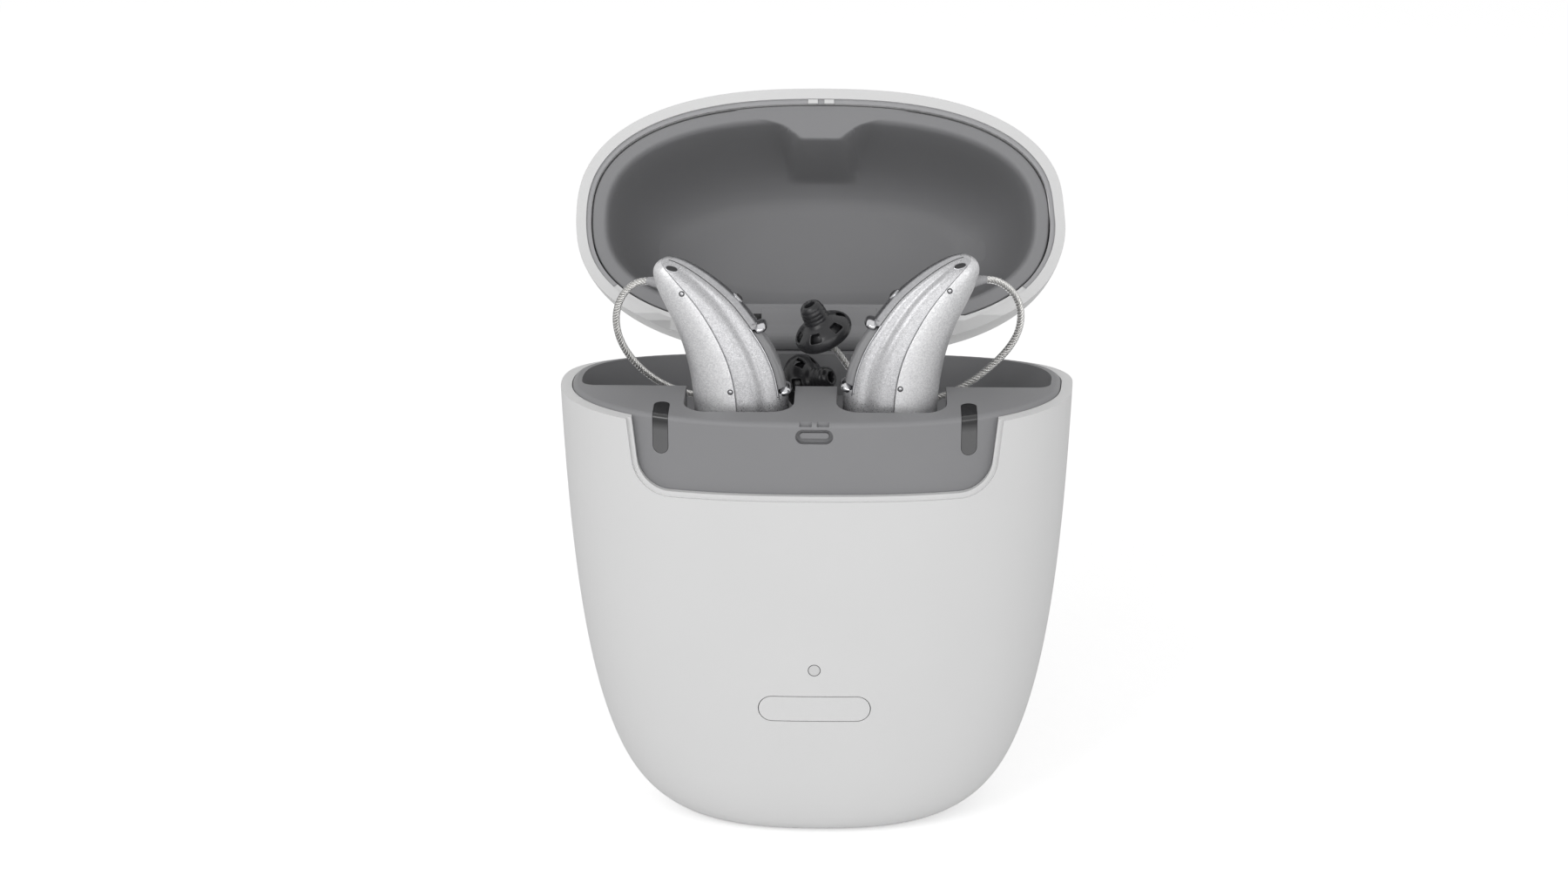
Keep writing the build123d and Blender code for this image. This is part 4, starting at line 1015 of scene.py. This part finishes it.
def soft_corners(points, radius):
    """A closed outline whose corners are each replaced by a quadratic curve, from radius before the corner
    to radius after it: (1 - s)^2 first + 2 s (1 - s) corner + s^2 last."""
    points = np.asarray(points, dtype=float)
    before = np.roll(points, 1, axis=0) - points
    after = np.roll(points, -1, axis=0) - points
    first = points + before / np.linalg.norm(before, axis=1)[:, None] * radius
    last = points + after / np.linalg.norm(after, axis=1)[:, None] * radius
    share = np.linspace(0.0, 1.0, 5)[None, :, None]
    curve = ((1 - share) ** 2 * first[:, None] + 2 * share * (1 - share) * points[:, None]
             + share ** 2 * last[:, None])
    return curve.reshape(-1, 2)


def add_hinge_arm():
    """The liner's hinge arm: a block behind the bowl and the round knuckle under it, carried along X."""
    turn = np.radians(np.linspace(80, -130, 15))
    knuckle = [(hinge_y + knuckle_radius * math.cos(t), hinge_z + knuckle_radius * math.sin(t)) for t in turn]
    block = [(arm_front_y, arm_top_z), (hinge_y, arm_top_z), (hinge_y, arm_shoulder_z)]
    foot = [(arm_foot_y, arm_foot_z), (arm_front_y, arm_foot_z)]
    outline = soft_corners(block + knuckle + foot, arm_corner)
    middle = outline.mean(axis=0)
    ends = [(distance - arm_half_width, scale) for distance, scale in arm_ends]
    rows = []
    for x, scale in ends + [(-x, scale) for x, scale in reversed(ends)]:
        section = middle + (outline - middle) * scale
        rows.append(np.concatenate([np.full((len(section), 1), x), section], axis=1))
    close_piece(grid_piece("lid_hinge_arm", opened(np.stack(rows)), liner, "lid"))


def add_rebate_band():
    """A grey band on the lid's rebate: flat and 0.7 mm wide, its section carried round the plan's
    superellipse and open at the back."""
    turn = np.linspace(-math.pi - rebate_band_open_turn, rebate_band_open_turn, 320)
    across, along = bent(np.cos(turn), 2 / plan_exponent), bent(np.sin(turn), 2 / plan_exponent)
    columns = []
    for inset, rise in rebate_band_section:
        y = (body_half_depth - inset) * along
        columns.append(np.stack([(body_half_width - inset) * across, y, crown_z(y, rise)], axis=-1))
    close_piece(grid_piece("lid_rebate_band", opened(np.stack(columns, axis=1)), rebate_grey, "lid"))


def add_latch_tabs():
    """The two small tabs that stand through the grey band over the tray's notches, as rounded blocks."""
    y = tab_inset - body_half_depth
    for side, x in (("left", -tab_x), ("right", tab_x)):
        block = rounded_body((x, y, crown_z(y, tab_rise)), np.eye(3), tab_half_sizes, tab_power)
        close_piece(grid_piece(side + "_latch_tab", opened(block), shell, "lid"))


add_liner()
add_hinge_arm()
add_rebate_band()
add_latch_tabs()

# Front face details

body_taper = 0.062
body_bulge = 2.75
body_depth_corner = 0.12
ring_thickness = 0.055


def front_wall_y(x, z):
    """Y of the shell's front wall: the depth's profile at height z times the plan's superellipse at x."""
    drop = (rim_height - z) / (rim_height + 0.4)
    depth = body_half_depth * (1 - body_taper * drop) * (1 - drop ** body_bulge) ** body_depth_corner
    return -depth * (1 - np.abs(x / body_half_width) ** plan_exponent) ** (1 / plan_exponent)


def add_indicator_ring():
    """The fine gap round the charge indicator: a flat ring stood up, each point moved back to the front
    wall and sunk in by 0.02 mm."""
    grid = ring_grid((0.0, 0.0, indicator_height), (0.0, 0.0001, 1.0), indicator_radius, ring_thickness)
    upright = np.stack([grid[..., 0], grid[..., 2] - indicator_height, indicator_height + grid[..., 1]],
                       axis=-1)
    upright[..., 1] += front_wall_y(upright[..., 0], upright[..., 2]) + 0.02
    close_piece(grid_piece("indicator_ring", upright, groove, "case"))


add_indicator_ring()

# Light: an even white surround that dims for diffuse light, a large key from the left, a soft fill from the
# right and a low one in front that reaches into the lid

surround_for_diffuse = 0.56
floor_lift = 0.46

world = bpy.data.worlds.new("studio")
bpy.context.scene.world = world
world.use_nodes = True
sky = world.node_tree
sky.nodes.clear()
rays = add_node(sky, "ShaderNodeLightPath")
seen = add_node(sky, "ShaderNodeMath", {0: rays.outputs["Is Camera Ray"], 1: rays.outputs["Is Glossy Ray"]},
                operation="MAXIMUM")
seen = add_node(sky, "ShaderNodeMath", {0: seen.outputs[0], 1: rays.outputs["Is Transmission Ray"]},
                operation="MAXIMUM")
strength = add_node(sky, "ShaderNodeMapRange", {
    "Value": seen.outputs[0], "From Min": 0.0, "From Max": 1.0, "To Min": surround_for_diffuse, "To Max": 1.0})
surround = add_node(sky, "ShaderNodeBackground", {
    "Color": (1.0, 1.0, 1.0, 1.0), "Strength": strength.outputs["Result"]})
add_node(sky, "ShaderNodeOutputWorld", {"Surface": surround.outputs[0]})


def add_softbox(name, place, aim, size, watts):
    """A square area light at a place in metres, turned to face another."""
    data = bpy.data.lights.new(name, "AREA")
    data.shape = "RECTANGLE"
    data.size = size
    data.size_y = size
    data.energy = watts
    lamp = bpy.data.objects.new(name, data)
    lamp.location = place
    lamp.rotation_euler = (Vector(aim) - Vector(place)).to_track_quat("-Z", "Y").to_euler()
    bpy.context.scene.collection.objects.link(lamp)


add_softbox("key_softbox", (-0.55, -0.75, 0.65), (0.0, 0.0, 0.05), 0.5, 2.3)
add_softbox("fill_softbox", (0.6, -0.8, 0.35), (0.0, 0.0, 0.05), 0.5, 1.0)
add_softbox("front_softbox", (0.0, -1.0, 0.25), (0.0, 0.0, 0.06), 0.6, 1.7)


def paper_sweep():
    """White paper sweep: uncoated, so plain and matt, with faint clouds of fibre 3 mm across. It is lifted
    to white for the camera by floor_lift, and keeps the object's shadow."""
    material, tree, place = new_material("white_paper_floor")
    fibre = add_node(tree, "ShaderNodeTexNoise", {"Vector": place, "Scale": per_metre(3.0)})
    tint = add_node(tree, "ShaderNodeMix", {
        0: fibre.outputs["Fac"], 6: linear("#F2F2F2"), 7: linear("#F5F5F5")}, data_type="RGBA")
    matt = add_node(tree, "ShaderNodeBsdfDiffuse", {"Color": tint.outputs[2]})
    rays = add_node(tree, "ShaderNodeLightPath")
    lift = add_node(tree, "ShaderNodeMath", {0: rays.outputs["Is Camera Ray"], 1: floor_lift},
                    operation="MULTIPLY")
    glow = add_node(tree, "ShaderNodeEmission", {"Strength": lift.outputs[0]})
    both_shaders = add_node(tree, "ShaderNodeAddShader", {0: matt.outputs[0], 1: glow.outputs[0]})
    add_node(tree, "ShaderNodeOutputMaterial", {"Surface": both_shaders.outputs[0]})
    return material


floor_mesh = bpy.data.meshes.new("paper_floor")
floor_reach = 3.0
corners = [(x * floor_reach, y * floor_reach, 0.0) for x, y in ((-1, -1), (1, -1), (1, 1), (-1, 1))]
floor_mesh.from_pydata(corners, [], [(0, 1, 2, 3)])
floor_mesh.materials.append(paper_sweep())
floor = bpy.data.objects.new("paper_floor", floor_mesh)
floor.location.z = -0.02 * MM
bpy.context.scene.collection.objects.link(floor)

bpy.context.scene.view_settings.view_transform = "Standard"
